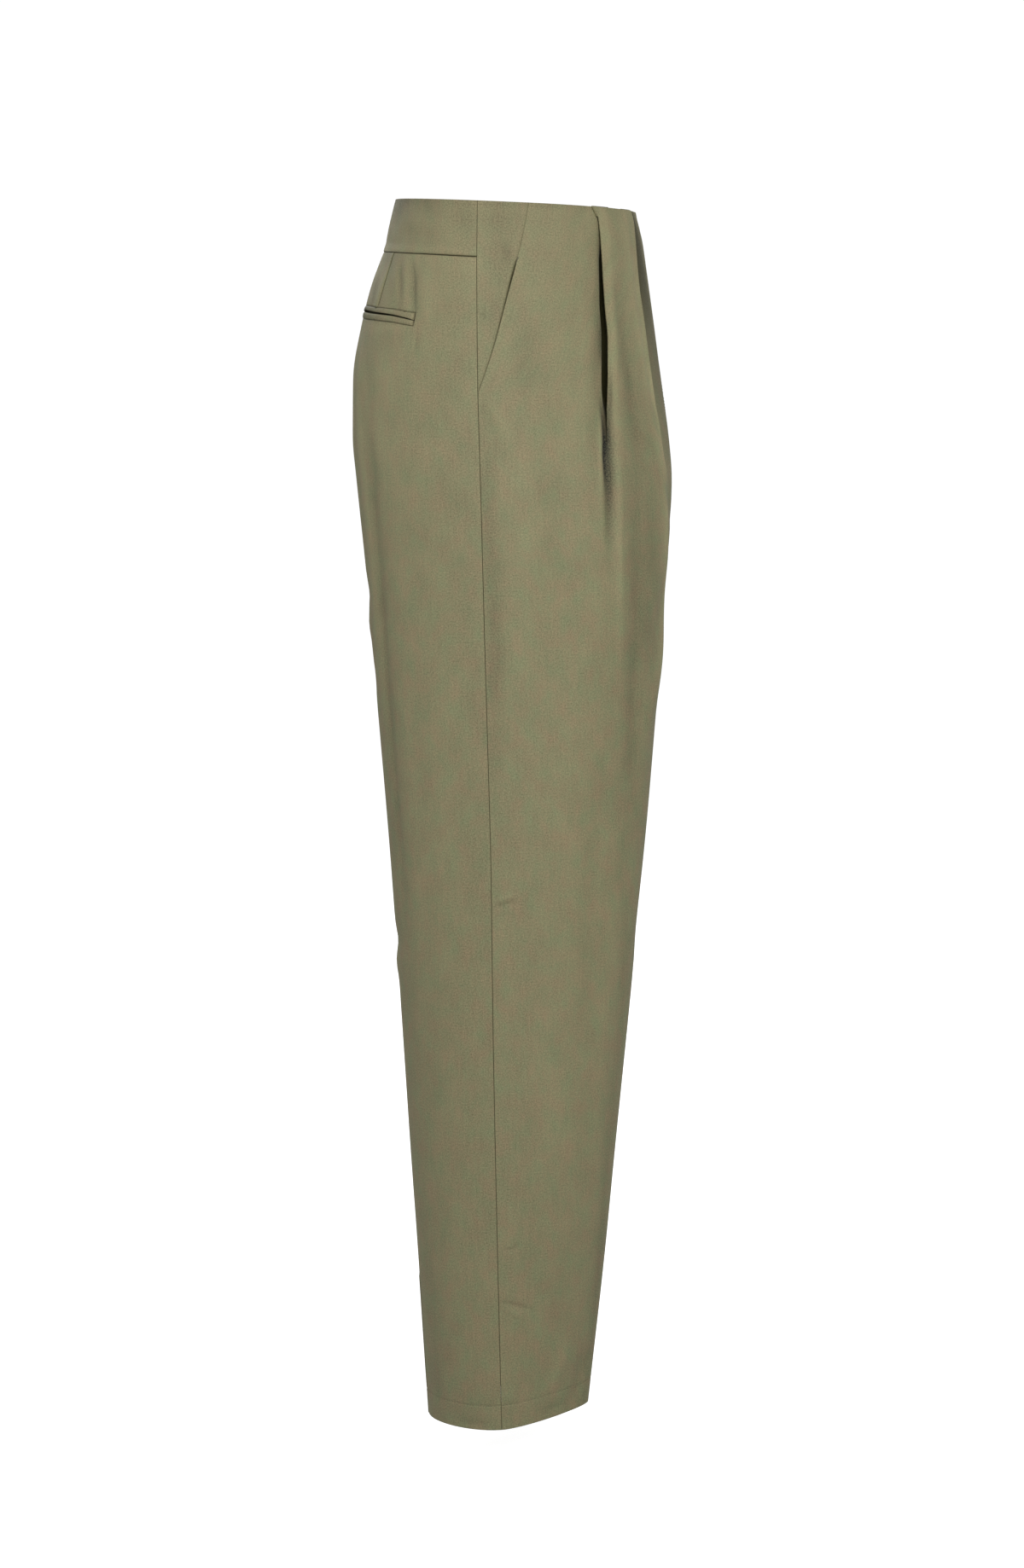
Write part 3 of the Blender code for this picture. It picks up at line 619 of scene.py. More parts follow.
WAISTBAND_CREASES = (
    (9, 0.6, 4, (20, -14), (60, -20), (110, -13)),
    (7, -0.6, -4, (30, -34), (70, -30), (100, -36)),
    (12, 0.5, 3, (130, -30), (150, -24), (170, -30)),
    (15, 0, -12, (144, 20), (150, -4), (162, -24), (176, -60)),
    (9, -0.4, -12, (5, 16), (8, -10), (6, -30), (3, -46)),
    (15, 0.2, 11, (50, -36), (80, -32), (112, -35)),
    (12, 0, -32, (152, 12), (141, -4), (114, -7), (78, 0)),
    (9, 0, -22, (154, 8), (162, -18), (174, -38), (182, -64)),
    (11, 0, -8, (-10, -12), (12, -13), (44, -12)),
    (8, 0, -6, (104, -6), (60, -5), (6, -6)),
    (3, 0, -12, (-40, -1.2), (80, -1.2), (240, -1.2)),
    (7, -0.3, -4, (40, -4), (51, -10), (66, -7)),
    (2.6, 0.2, 10, (-30, -43.4), (60, -43.6), (130, -43.6), (220, -43.4)),
)


# ---------------------------------------------------------------- materials

WARM_TINT, COOL_TINT = (1.095, 0.967, 1.0, 1), (0.905, 1.033, 1.0, 1)
SHEEN_TINT = (0.86, 0.84, 0.7, 1)


class Wires:
    """Adds nodes to a tree and joins them, with numbers set on plain sockets."""

    def __init__(self, tree):
        self.tree = tree

    def fill(self, node, inputs):
        for label, value in inputs.items():
            if isinstance(value, bpy.types.NodeSocket):
                self.tree.links.new(value, node.inputs[label])
            else:
                node.inputs[label].default_value = value

    def node(self, kind, inputs=None, output=0, **settings):
        """The output of a new node with these inputs and settings."""
        made = self.tree.nodes.new(kind)
        for key, value in settings.items():
            setattr(made, key, value)
        self.fill(made, inputs or {})
        return made.outputs[output]

    def math(self, operation, a, b=0.0, **settings):
        return self.node("ShaderNodeMath", {0: a, 1: b}, operation=operation, **settings)

    def times(self, a, b):
        return self.math("MULTIPLY", a, b)

    def total(self, value, *others):
        for other in others:
            value = self.math("ADD", value, other)
        return value

    def noise(self, where, stretch, detail=2.0, roughness=0.5):
        """Noise as fine along each axis as stretch says."""
        where = self.node("ShaderNodeMapping", {"Vector": where, "Scale": stretch})
        inputs = {"Vector": where, "Scale": 1.0, "Detail": detail, "Roughness": roughness}
        return self.node("ShaderNodeTexNoise", inputs, "Fac")

    def mixed(self, share, colour, other):
        inputs = {0: share, 6: colour, 7: other}
        return self.node("ShaderNodeMix", inputs, 2, data_type="RGBA")

    def scaled(self, colour, level):
        inputs = {0: colour, "Scale": level}
        return self.node("ShaderNodeVectorMath", inputs, operation="SCALE")

    def spread(self, value, low, high):
        """A 0 to 1 value moved to between low and high."""
        inputs = {"Value": value, "To Min": low, "To Max": high}
        return self.node("ShaderNodeMapRange", inputs)

    def swing(self, value, reach):
        """A 0 to 1 value moved to as far as reach on both sides of 0."""
        return self.spread(value, -reach, reach)

    def relief(self, height, strength, distance):
        inputs = {"Height": height, "Strength": strength, "Distance": distance}
        return self.node("ShaderNodeBump", inputs, "Normal")

    def shared(self, name, make, inputs):
        """The outputs of a node group that all the materials share."""
        tree = bpy.data.node_groups.get(name) or make(name)
        return self.node("ShaderNodeGroup", inputs, node_tree=tree).node.outputs


def node_group(name, inputs, outputs):
    """A new group with inputs by their default value, where None is for a vector."""
    kinds = {type(None): "Vector", float: "Float", tuple: "Color"}
    group = bpy.data.node_groups.new(name, "ShaderNodeTree")
    add = group.interface.new_socket
    for label, value in inputs.items():
        kind = "NodeSocket" + kinds[type(value)]
        socket = add(name=label, in_out="INPUT", socket_type=kind)
        if value is not None:
            socket.default_value = value
    for label, kind in outputs.items():
        add(name=label, in_out="OUTPUT", socket_type="NodeSocket" + kind)
    nodes = group.nodes
    return group, nodes.new("NodeGroupInput").outputs, nodes.new("NodeGroupOutput")


def twill_group(name):
    """Fine diagonal ribs of twill: a height, and the tone of the threads."""
    group, given, leave = node_group(
        name, {"Cloth Coordinates": None, "Rib Spacing": 0.0006},
        {"Height": "Float", "Tone": "Float"},
    )
    w = Wires(group)
    where, spacing = given["Cloth Coordinates"], given["Rib Spacing"]
    across, up, _ = w.node("ShaderNodeSeparateXYZ", {0: where}).node.outputs
    rib_turn = w.math("DIVIDE", w.total(across, w.times(up, 0.8)), spacing)
    rib = w.math("SINE", w.times(rib_turn, 2 * math.pi))
    warp = w.math("SINE", w.times(w.math("DIVIDE", across, spacing), 4 * math.pi))
    uneven = w.noise(where, (2600, 420, 1))
    height = w.total(w.times(rib, 0.35), w.times(warp, 0.12), w.times(uneven, 0.9))
    w.fill(leave, {"Height": height, "Tone": w.total(w.times(rib, 0.04), uneven)})
    return group


def cloth_tone_group(name):
    """The cloth's colour with its threads and faint warmer and cooler clouds, with the
    light and shade painted along its creases and the shade painted into its seams and
    folds."""
    group, given, leave = node_group(
        name,
        {
            "Cloth Coordinates": None, "Cloth Colour": (0.26, 0.24, 0.15, 1),
            "Painted Shade Colour": (0.02, 0.02, 0.01, 1), "Thread Tone": 0.5,
            "Painted Light And Shade": 0.0, "Shade": 0.0,
        },
        {"Color": "Color", "Unevenness": "Float"},
    )
    w = Wires(group)
    where = given["Cloth Coordinates"]
    streaks = w.noise(where, (520, 42, 1), 3.0, 0.6)
    clouds = w.noise(where, (45, 30, 1), 3.0)
    specks = w.noise(where, (900, 760, 1))
    # The level: random streaks, clouds, specks and threads, with the light and shade painted
    # along the creases
    level = w.total(
        w.swing(streaks, 0.15), w.swing(clouds, 0.13), w.swing(specks, 0.56),
        w.swing(given["Thread Tone"], 0.2), given["Painted Light And Shade"], 1.0,
    )
    up = w.node("ShaderNodeSeparateXYZ", {0: where}, "Y")
    lower_leg = w.math("MULTIPLY", up, -2.6, use_clamp=True)
    hues = w.swing(w.noise(where, (70, 48, 1), 4.0, 0.6), 1.2)
    hues = w.times(hues, w.spread(lower_leg, 0.7, 1.25))
    tint = {0: given["Cloth Colour"], 1: w.mixed(w.total(hues, 0.5), COOL_TINT, WARM_TINT)}
    tinted = w.node("ShaderNodeVectorMath", tint, operation="MULTIPLY")
    # Painted shade: the colour goes towards the shade colour as far as the Shade input says
    shaded = w.mixed(given["Shade"], w.scaled(tinted, level), given["Painted Shade Colour"])
    w.fill(leave, {"Color": shaded, "Unevenness": clouds})
    return group


def new_material(name):
    material = bpy.data.materials.new(name)
    material.use_nodes = True
    tree = material.node_tree
    return material, Wires(tree), tree.nodes["Principled BSDF"]


def cloth_material(name, look):
    material, w, shader = new_material(name)
    where = w.node("ShaderNodeUVMap", uv_map="cloth")
    # The shade painted into seams, folds and hollows, and the light and shade painted along the
    # creases
    shade, painted_light_and_shade = (
        w.node("ShaderNodeAttribute", output="Fac", attribute_name=label)
        for label in ("shade", "painted_light_and_shade")
    )
    weave = w.shared("Twill Weave", twill_group, {
        "Cloth Coordinates": where, "Rib Spacing": look.rib_spacing,
    })
    cloth = w.shared("Cloth Tone", cloth_tone_group, {
        "Cloth Coordinates": where, "Cloth Colour": (*look.cloth_colour, 1),
        "Painted Shade Colour": (*look.painted_shade_colour, 1), "Thread Tone": weave["Tone"],
        "Painted Light And Shade": painted_light_and_shade, "Shade": shade,
    })
    matt = look.roughness
    w.fill(shader, {
        "Base Color": cloth["Color"],
        "Roughness": w.spread(cloth["Unevenness"], matt - 0.05, matt + 0.05),
        "Normal": w.relief(weave["Height"], look.weave_strength, 0.2 * MM),
        "Sheen Weight": look.sheen, "Sheen Roughness": 0.45, "Sheen Tint": SHEEN_TINT,
        "Specular IOR Level": 0.35,
    })
    material.diffuse_color = (*look.cloth_colour, 1)
    return material


def thread_material(name, look):
    material, w, shader = new_material(name)
    where = w.node("ShaderNodeTexCoord", output="Object")
    twist = w.noise(where, (900, 900, 900))
    w.fill(shader, {
        "Base Color": w.scaled((*look.thread_colour,), w.spread(twist, 0.8, 1.2)),
        "Roughness": w.spread(twist, 0.45, 0.65),
        "Normal": w.relief(twist, 0.4, 0.1 * MM), "Sheen Weight": 0.1,
    })
    return material


# ---------------------------------------------------------------- cloth pieces

WAIST_TURN, WAISTBAND_TURN = 8 * MM, 5 * MM
SEAM_ALLOWANCE, CREASE_FADE = 1.3 * MM, 4 * MM
POCKET_FADE, FLY_FADE = 14 * MM, 20 * MM
WELT_SLANT = 0.22
HEM_STITCHES = -OUTSEAM + 22 * MM

# Highlights and shade painted beside the pleat's folds: which fold, how far beside it
# and how wide in millimetres, the painted tone, then the heights where it comes in from
# below and ends above
PAINTED_FOLD_LIGHT_AND_SHADE = (
    ("outer", 7, 6, 0.19, (-210, -150), (20, 10)),
    ("inner", 5, 11, 0.18, (-240, -190), (20, 10)),
    ("inner", 1.8, 2.8, 0.24, (-246, -196), (-120, -150)),
    ("outer", 2.4, 3, -0.34, (-215, -190), (-125, -165)),
)


def fade_in(values, start, end):
    return smooth_step((values - start) / (end - start))


def line_at(offset, width):
    """1 on a line and 0 away from it, where width is half the line's own."""
    return np.exp(-((offset / width) ** 2))


def mesh_of(shape, name):
    mesh = bpy.data.meshes.new(name)
    shape.to_mesh(mesh)
    shape.free()
    return mesh


def linked_object(name, mesh, material):
    mesh.shade_smooth()
    mesh.materials.append(material)
    piece = bpy.data.objects.new(name, mesh)
    bpy.context.scene.collection.objects.link(piece)
    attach(piece, "root")
    return piece


def cloth_piece(names, points, shade, painted_light_and_shade, side, context, layer=1.0, flip=False):
    """A grid laid over the points, [row, column, xyz], with its thickness inwards.
    names are the piece's, its node's and its material's. side is -1 for the wearer's
    right and 1 for the left. shade, 0 to 1, is the shade painted into a seam, fold or
    hollow, and the argument after it the light and shade painted along the creases."""
    name, node, material = names
    rows, columns = points.shape[:2]
    sheet = bmesh.new()
    bmesh.ops.create_grid(sheet, x_segments=columns - 1, y_segments=rows - 1, size=0.5)
    mesh = mesh_of(sheet, name)

    def store(target, label, values):
        target.foreach_set(label, values.reshape(-1).astype(np.float32))

    store(mesh.vertices, "co", points * np.array([side, 1.0, 1.0]))
    steps = np.linalg.norm(np.diff(points, axis=1), axis=2)
    across = np.concatenate([np.zeros((rows, 1)), np.cumsum(steps, axis=1)], 1)
    drops = np.linalg.norm(np.diff(points, axis=0), axis=2).mean(1)
    down = np.concatenate([[0], np.cumsum(drops)])
    flat = np.stack([across, np.broadcast_to(-down[:, None], across.shape)], 2)
    corners = np.empty(len(mesh.loops), np.int32)
    mesh.loops.foreach_get("vertex_index", corners)
    layout = mesh.uv_layers.get("UVMap") or mesh.uv_layers.new(name="cloth")
    layout.name = "cloth"
    store(layout.data, "uv", flat.reshape(-1, 2)[corners])
    for label, values in (("shade", np.clip(shade, 0, 1)), ("painted_light_and_shade", painted_light_and_shade)):
        attribute = mesh.attributes.new(label, "FLOAT", "POINT")
        store(attribute.data, "value", np.broadcast_to(values, (rows, columns)))
    if (side < 0) != flip:
        mesh.flip_normals()
    mesh.update()
    scene = context.scene
    piece = linked_object(name, mesh, cloth_material(material, scene.trousers_cloth))
    wall = piece.modifiers.new("Cloth", "SOLIDIFY")
    wall.thickness = layer * scene.trousers_cut.cloth_thickness
    wall.offset = -1.0
    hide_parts(node)
    return piece


class Panel:
    """The outlines of a panel's rows, and the columns laid on them: each has an along,
    an out and a painted shade for every row."""

    def __init__(self, context, face, top, bottom, turn_top, turn_bottom):
        self.cut = context.scene.trousers_cut
        self.heights, self.inset = cloth_rows(
            top, bottom, turn_top, turn_bottom, self.cut.edge_radius
        )
        self.h = self.heights[:, None]
        self.outline = HalfOutline(self.heights, face)
        self.side_edge = np.full(len(self.heights), self.cut.seam_space)
        self.columns = []

    def add(self, along, out=0.0, shade=0.0):
        self.columns.append([
            np.broadcast_to(np.asarray(values, float), self.heights.shape)
            for values in (along, out, shade)
        ])

    def edge(self, edge, radius, towards=1, rise=0.0, allowance=SEAM_ALLOWANCE, shade=0.75):
        """An edge rolled into its seam. towards is 1 where the cloth lies further
        along than its edge, and -1 where it lies before it."""
        rolled = [(0.0, -radius - allowance)]
        for share in ROLL_SHARES:
            sunk = radius - radius * math.sqrt(max(1 - (1 - share) ** 2, 0))
            rolled.append((share * radius, -sunk))
        for distance, out in rolled[::towards]:
            # Shade painted into the seam, darkest at the edge and gone where the roll meets the
            # cloth
            dark = shade * (1 - distance / radius) ** 3
            self.add(edge + towards * distance, out + rise, dark)

    def run(self, start, end, count, power=1.0, out_start=0.0, out_end=0.0):
        """Columns spread from start to end, without the ends themselves."""
        for i in range(1, count + 1):
            t = (i / (count + 1)) ** power
            self.add(mixed(start, end, t), mixed(out_start, out_end, smooth_step(t)))

    def along_line(self, line, steps):
        """Columns at these distances in millimetres from a line down the panel."""
        for step in steps:
            self.add(line + step * MM)

    def arrays(self):
        return [np.stack(values, 1) for values in zip(*self.columns)]

    def creased(self, along, creases, start=None, end=None):
        """The creases' rise and the light and shade painted along them, with no rise at
        the seams at start and end."""
        strength = self.cut.crease_strength
        rise, painted_light_and_shade = (traced(along, self.heights, creases, column) for column in (1, 2))
        rise = rise * MM * strength
        if start is not None:
            fades = smooth_step((along - start[:, None]) / CREASE_FADE)
            rise = rise * (fades * smooth_step((end[:, None] - along) / CREASE_FADE))
        return rise, painted_light_and_shade * 0.01 * strength

    def laid(self, along, out):
        """The columns' points in space, with the turned edges inside."""
        out = out - self.inset[:, None]
        return in_space(self.outline.place(along, out), self.heights)


def pocket_opening(heights):
    """How far open the slanted pocket is at each height: sewn shut at the top, widest
    under its tack and closing again towards the side seam."""
    spots = np.array([-156, -118, -84, -62, -50, -46]) * MM
    return np.interp(heights, spots, [0.25, 0.38, 0.66, 1.0, 0.8, 0.0])


def hem_stitch_groove(heights):
    """How deep the row of hem stitches pulls the cloth in."""
    return 0.3 * MM * line_at(heights - HEM_STITCHES, 0.8 * MM)


def front_panel(context, word, side, creases):
    cut = context.scene.trousers_cut
    panel = Panel(context, "front", 0.0, -OUTSEAM, WAIST_TURN, cut.hem_depth)
    outline, heights, h = panel.outline, panel.heights, panel.h
    gap, roll = cut.seam_space, cut.seam_radius

    # The slanted pocket's mouth, and the side seam under it
    pocket = np.maximum(outline.along_at_y(size_at("edge_y", heights)), gap)
    in_pocket = fade_in(heights, POCKET_BOTTOM, POCKET_BOTTOM + POCKET_FADE)
    edge = np.where(heights > POCKET_BOTTOM, pocket, gap)
    opened = pocket_opening(heights)
    mouth = opened * in_pocket * cut.pocket_gape
    edge_roll = roll * mixed(1.0, mixed(0.6, 0.9, opened), in_pocket)
    # Shade painted into the pocket's edge, darker where the mouth stands open
    edge_shade = mixed(0.8, mixed(0.85, 1.0, opened), in_pocket)
    panel.edge(edge, edge_roll, 1, rise=mouth, allowance=0.45 * MM, shade=edge_shade)

    # The box pleat between its two folds
    outer, inner = (
        outline.along_at_y(-size_at(fold + "_y", heights)) for fold in ("outer", "inner")
    )
    outer_fold = pleat_fold(heights, "outer", 1, 40)
    inner_fold = pleat_fold(heights, "inner", -1, 34)
    start = outer + outer_fold[0][:, 0]
    for i in range(1, 30):
        t = (i / 30) ** 1.25
        rise = mouth * smooth_step(1 - t * (start - edge) / (9 * MM))
        panel.add(mixed(edge + edge_roll, start, t), rise)
    for a, o, s in zip(*(values.T for values in outer_fold)):
        panel.add(outer + a, o, s)
    panel.run(
        outer + outer_fold[0][:, -1], inner - inner_fold[0][:, -1], 12,
        out_start=outer_fold[1][:, -1], out_end=inner_fold[1][:, -1],
    )
    # The box's shadow, painted on the cloth just past its inner fold
    beside = size_at("inner_shade", heights)
    for a, o, s in zip(*(values.T[::-1] for values in inner_fold)):
        panel.add(inner - a, o, np.maximum(s, beside * (a < 0)))

    # The cloth beside it, and the fly, where the right front laps over the left
    laps = side < 0
    from_fly = (heights + FLY_LENGTH) / FLY_FADE
    lap = np.clip(1 + from_fly, 0, 1) * laps
    lap_rise = np.clip(2 + from_fly, 0, 1) * laps * 1.2 * MM
    end = outline.length - gap + lap * cut.fly_lap
    first = inner - inner_fold[0][:, 0]
    # The box's painted shadow runs on over this cloth, fading out towards the centre seam
    for i in range(1, 17):
        along = mixed(first, end - roll, i / 17)
        centre = outline.length - along
        wide, narrow = smooth_step(centre / (18 * MM)), fade_in(centre, 12 * MM, 36 * MM)
        rise = lap_rise * smooth_step(1 - (end - along) / (15 * MM))
        panel.add(along, rise, beside * mixed(wide, narrow, 0.65))
    panel.edge(end, roll, -1, rise=lap_rise, allowance=SEAM_ALLOWANCE * (1 - 0.7 * laps))

    along, out, shade = panel.arrays()
    rise, painted_light_and_shade = panel.creased(along, creases, edge, end)
    # Highlights and shade painted beside the folds
    beside = {"outer": along - outer[:, None], "inner": inner[:, None] - along}
    for fold, aside, width, tone, below, above in PAINTED_FOLD_LIGHT_AND_SHADE:
        at = line_at(beside[fold] - aside * MM, width * MM)
        for start, full in (below, above):
            at = at * fade_in(h, start * MM, full * MM)
        painted_light_and_shade = painted_light_and_shade + tone * at
    points = panel.laid(along, out + rise - hem_stitch_groove(h))
    names = "front_panel_" + word, "front_" + word, "front_cloth_" + word
    return cloth_piece(names, points, shade, painted_light_and_shade, side, context)


def back_panel(context, word, side, creases):
    cut = context.scene.trousers_cut
    top = -WAISTBAND_DEPTH + 6 * MM
    panel = Panel(context, "back", top, -OUTSEAM, 0, cut.hem_depth)
    outline, heights, h = panel.outline, panel.heights, panel.h
    edge, roll = panel.side_edge, cut.seam_radius
    end = outline.length - cut.seam_space
    dart = np.minimum(size_at("dart_across", heights), end - 30 * MM)
    start = outline.along_at_y(WELT_START_Y)
    panel.edge(edge, roll, shade=0.9)
    panel.run(edge + roll, start - 2 * MM, 15)
    panel.along_line(start, (-1.6, -1.0, -0.5, 0.0, 0.5, 1.0, 1.6, 2.3))
    panel.run(start + 2.3 * MM, dart - 1.6 * MM, 15)
    panel.along_line(dart, (-1.6, -1.0, -0.6, -0.3, 0.0, 0.3, 0.6, 1.0, 1.6))
    panel.run(dart + 1.6 * MM, end - roll, 34, 0.95)
    panel.edge(end, roll, -1)
    along, out, shade = panel.arrays()
    rise, painted_light_and_shade = panel.creased(along, creases, edge, end)
    out = out + rise * smooth_step((-WAISTBAND_DEPTH - h) / (4 * MM))

    # The dart's line with shade painted along it, and the cloth that stands up beside it
    # with a painted highlight
    stitched = fade_in(h, DART_END - 2 * MM, DART_END + 2 * MM)
    from_dart = along - dart[:, None]
    dart_line = line_at(from_dart, 0.65 * MM) * stitched
    beside = line_at(from_dart - 3.2 * MM, 2.6 * MM) * stitched
    out = out + (0.5 * beside - 0.7 * dart_line) * MM
    painted_light_and_shade = painted_light_and_shade + 0.09 * beside
    shade = np.maximum(shade, 0.9 * dart_line)

    # The pocket's hole and the sewn frame round it, both with painted shade, and shade
    # painted towards its rear end
    share = (along - start[:, None]) / WELT_LENGTH
    on_line = np.clip(share, 0, 1)
    top, mouth, low = (size_at("welt_" + line, on_line) for line in ("top", "mouth", "low"))
    slant = (top - h) * WELT_SLANT / WELT_LENGTH
    inside = smooth_step((share - slant + 0.004) / 0.012) * smooth_step((1.01 - share) / 0.03)
    hole = smooth_step((h - low) / MM) * smooth_step((top - h) / MM) * inside
    out = out - 4.0 * MM * hole * line_at(h - mouth, 2.0 * MM)
    thread = mixed(0.36, 0.8, fade_in(share, 0.3, 0.8)) * MM
    side_end = line_at((share - slant) * WELT_LENGTH, 0.45 * MM)
    side_end = side_end * fade_in(h, low - 0.6 * MM, low) * (1 - fade_in(h, top, top + 0.6 * MM))
    sewn = (line_at(h - top, thread) + line_at(h - low, thread)) * inside
    sewn = np.clip(sewn + side_end, 0, 1)
    out = out - 0.4 * MM * sewn
    rear = fade_in(share, 0.55, 1.0) * inside * fade_in(h, low - 3 * MM, low)
    shade = np.maximum.reduce([shade, 0.95 * sewn, hole, 0.25 * rear * (h < top)])

    # The seam under the waistband, where the cloth tucks under it with shade painted into
    # the tuck
    above = (h + WAISTBAND_DEPTH) / MM
    tuck = np.interp(
        above, [-7, -4, -2.2, -1.2, -0.6, -0.25, 0.1, 1.0],
        [0, 0.08, 0.2, 0.35, 0.55, 1.0, 2.4, 2.7],
    )
    shade = np.maximum(shade, 0.95 * smooth_step((tuck - 0.5) / 0.8))
    points = panel.laid(along, out - tuck * MM - hem_stitch_groove(h))
    names = "back_panel_" + word, "back_" + word, "back_cloth_" + word
    return cloth_piece(names, points, shade, painted_light_and_shade, side, context, flip=True)


def waistband(context):
    panel = Panel(context, "back", 0.0, -WAISTBAND_DEPTH, WAIST_TURN, WAISTBAND_TURN)
    h, roll, edge = panel.h, panel.cut.seam_radius, panel.side_edge
    panel.edge(edge, roll)
    panel.run(edge + roll, panel.outline.length, 46)
    panel.add(panel.outline.length)
    along, out, shade = panel.arrays()
    rise, painted_light_and_shade = panel.creased(along, WAISTBAND_CREASES)
    out = out + rise - 0.25 * MM * line_at(h + 39 * MM, 2.2 * MM)
    # Shade painted along the seam at the waistband's lower edge, darker near the side seam
    seam_shade = 0.5 + 0.4 * (1 - fade_in(along, 40 * MM, 75 * MM))
    seam = line_at(h + WAISTBAND_DEPTH, (0.4 + 0.6 * seam_shade) * MM)
    shade = np.maximum(shade, seam_shade * seam)
    half = panel.laid(along, out)
    half[:, -1, 0] = 0.0

    def whole(right, left):
        return np.concatenate([right, left[:, :-1][:, ::-1]], 1)

    names = "waistband_cloth", "back_waistband", "waistband_cloth"
    points = whole(half * np.array([-1.0, 1.0, 1.0]), half)
    return cloth_piece(names, points, whole(shade, shade), whole(painted_light_and_shade, painted_light_and_shade), 1, context)


def pocket_side(context, word, side):
    panel = Panel(context, "front", 0.0, POCKET_BOTTOM, WAIST_TURN, 0)
    cut, heights, edge = panel.cut, panel.heights, panel.side_edge
    mouth = panel.outline.along_at_y(size_at("edge_y", heights))
    mouth = np.maximum(mouth, cut.seam_space)
    opened = pocket_opening(heights)
    under = mixed(0.6 * MM, 1.35 * MM + cut.pocket_gape * 0.4, opened)
    # Shade painted into the pocket's mouth, darker where it stands open
    dark = mixed(0.6, 1.0, opened)
    room = np.clip((mouth - edge) / (8 * MM), 0, 1)
    panel.edge(edge, cut.seam_radius)
    for i in range(1, 34):
        along = mixed(edge + cut.seam_radius, mouth + 10 * MM, i / 33)
        near = smooth_step((along - mouth + mixed(1.0, 2.2, opened) * MM) / (2.2 * MM))
        panel.add(along, -under * np.maximum(near, 1 - smooth_step(room)), dark * near)
    along, out, shade = panel.arrays()
    rise, painted_light_and_shade = panel.creased(along, POCKET_SIDE_CREASES, edge, mouth - MM)
    names = "pocket_side_panel_", "pocket_side_", "pocket_side_cloth_"
    names = [name + word for name in names]
    return cloth_piece(names, panel.laid(along, out + rise), shade, painted_light_and_shade, side, context)


# A welt from its sewn edge (0) to its lip (1), and how far out it stands in millimetres
WELT_PROFILE = (
    (-0.02, -0.9), (0.0, -0.25), (0.06, 0.1), (0.18, 0.42), (0.36, 0.66), (0.6, 0.78),
    (0.82, 0.76), (0.93, 0.6), (0.985, 0.28), (1.0, -0.1), (1.0, -1.0), (0.98, -2.2),
)


def welt(context, word, side, which):
    """A lip of a back pocket: a folded strip, sewn down along its outer edge."""
    upper = which == "upper"
    shares = np.linspace(0, 1, 72)
    gape = size_at("welt_open", shares) * 0.5 * context.scene.trousers_cut.welt_gape
    outer = size_at("welt_top" if upper else "welt_low", shares)
    lip = size_at("welt_mouth", shares) + (gape if upper else -gape)
    ends = smooth_step(shares / 0.02) * smooth_step((1 - shares) / 0.02)
    # Shade painted on the lip: along its sewn edge and where it tucks under, at and towards its
    # centre end, and at its side end
    corner = 0.95 * fade_in(shares, 0.82, 0.95)
    rear = (0.86 if upper else 0.6) * fade_in(shares, 0.25, 0.95)
    front = 0.75 * (1 - fade_in(shares, 0.0, 0.012))
    rows, shades = [], []
    for across, out in WELT_PROFILE:
        height = mixed(outer, lip, across)
        outline = HalfOutline(height, "back")
        slant = (size_at("welt_top", shares) - height) * WELT_SLANT
        along = outline.along_at_y(WELT_START_Y) + WELT_LENGTH * shares + slant
        raised = mixed(-0.5, out, ends) * MM
        rows.append(in_space(outline.place(along[:, None], raised[:, None]), height)[:, 0])
        dark = 0.95 if out < -0.5 else 0.6 if out < 0.2 else 0.1 * (across > 0.9)
        shades.append(np.maximum.reduce([
            np.full(len(shares), dark), corner * (across > 0.3), rear, front,
        ]))
    if not upper:
        rows, shades = rows[::-1], shades[::-1]
    name = f"{which}_{word}"
    names = "welt_lip_" + name, "welt_" + name, "welt_cloth_" + name
    return cloth_piece(
        names, np.array(rows), np.array(shades), 0.0, side, context, layer=0.8, flip=True
    )


# ---------------------------------------------------------------- stitching

FLY_STITCH_RUN, FLY_STRAIGHT, FLY_CURVE = 24 * MM, 158 * MM, 27 * MM
ACROSS = math.pi / 2


def stitches(look, name, thread, face, side, places, length, radius, sink, turned=0.0):
    """Threads lying on the cloth. places are (along, height) in order; each thread
    points to the next place, or turned by this angle across the line."""
    along, heights = np.array(places).T
    outline = HalfOutline(heights, face)
    at, up = (
        in_space(outline.place(along[:, None], np.full((len(along), 1), out)), heights)[:, 0]
        * [side, 1, 1]
        for out in (-sink, 5 * MM)
    )
    sewn = bmesh.new()
    for i in range(len(at)):
        run = Vector(at[min(i + 1, len(at) - 1)] - at[max(i - 1, 0)])
        normal = Vector(up[i] - at[i]).normalized()
        run = (run - normal * run.dot(normal)).normalized()
        run = Matrix.Rotation(turned, 3, normal) @ run
        beside = normal.cross(run)
        matrix = Matrix((run * length / 2, beside * radius, normal * radius))
        matrix = matrix.transposed().to_4x4()
        matrix.translation = Vector(at[i])
        bmesh.ops.create_uvsphere(sewn, u_segments=6, v_segments=5, radius=1.0, matrix=matrix)
    bmesh.ops.recalc_face_normals(sewn, faces=sewn.faces[:])
    return linked_object(name, mesh_of(sewn, name), thread_material(thread, look))


def length_at(height, face):
    """From the side seam to the centre seam or inseam at a height."""
    return float(HalfOutline([height], face).length[0])


def pocket_edge_places(heights, aside):
    edge = HalfOutline(heights, "front").along_at_y(size_at("edge_y", heights))
    return np.stack([edge + aside, heights], 1)


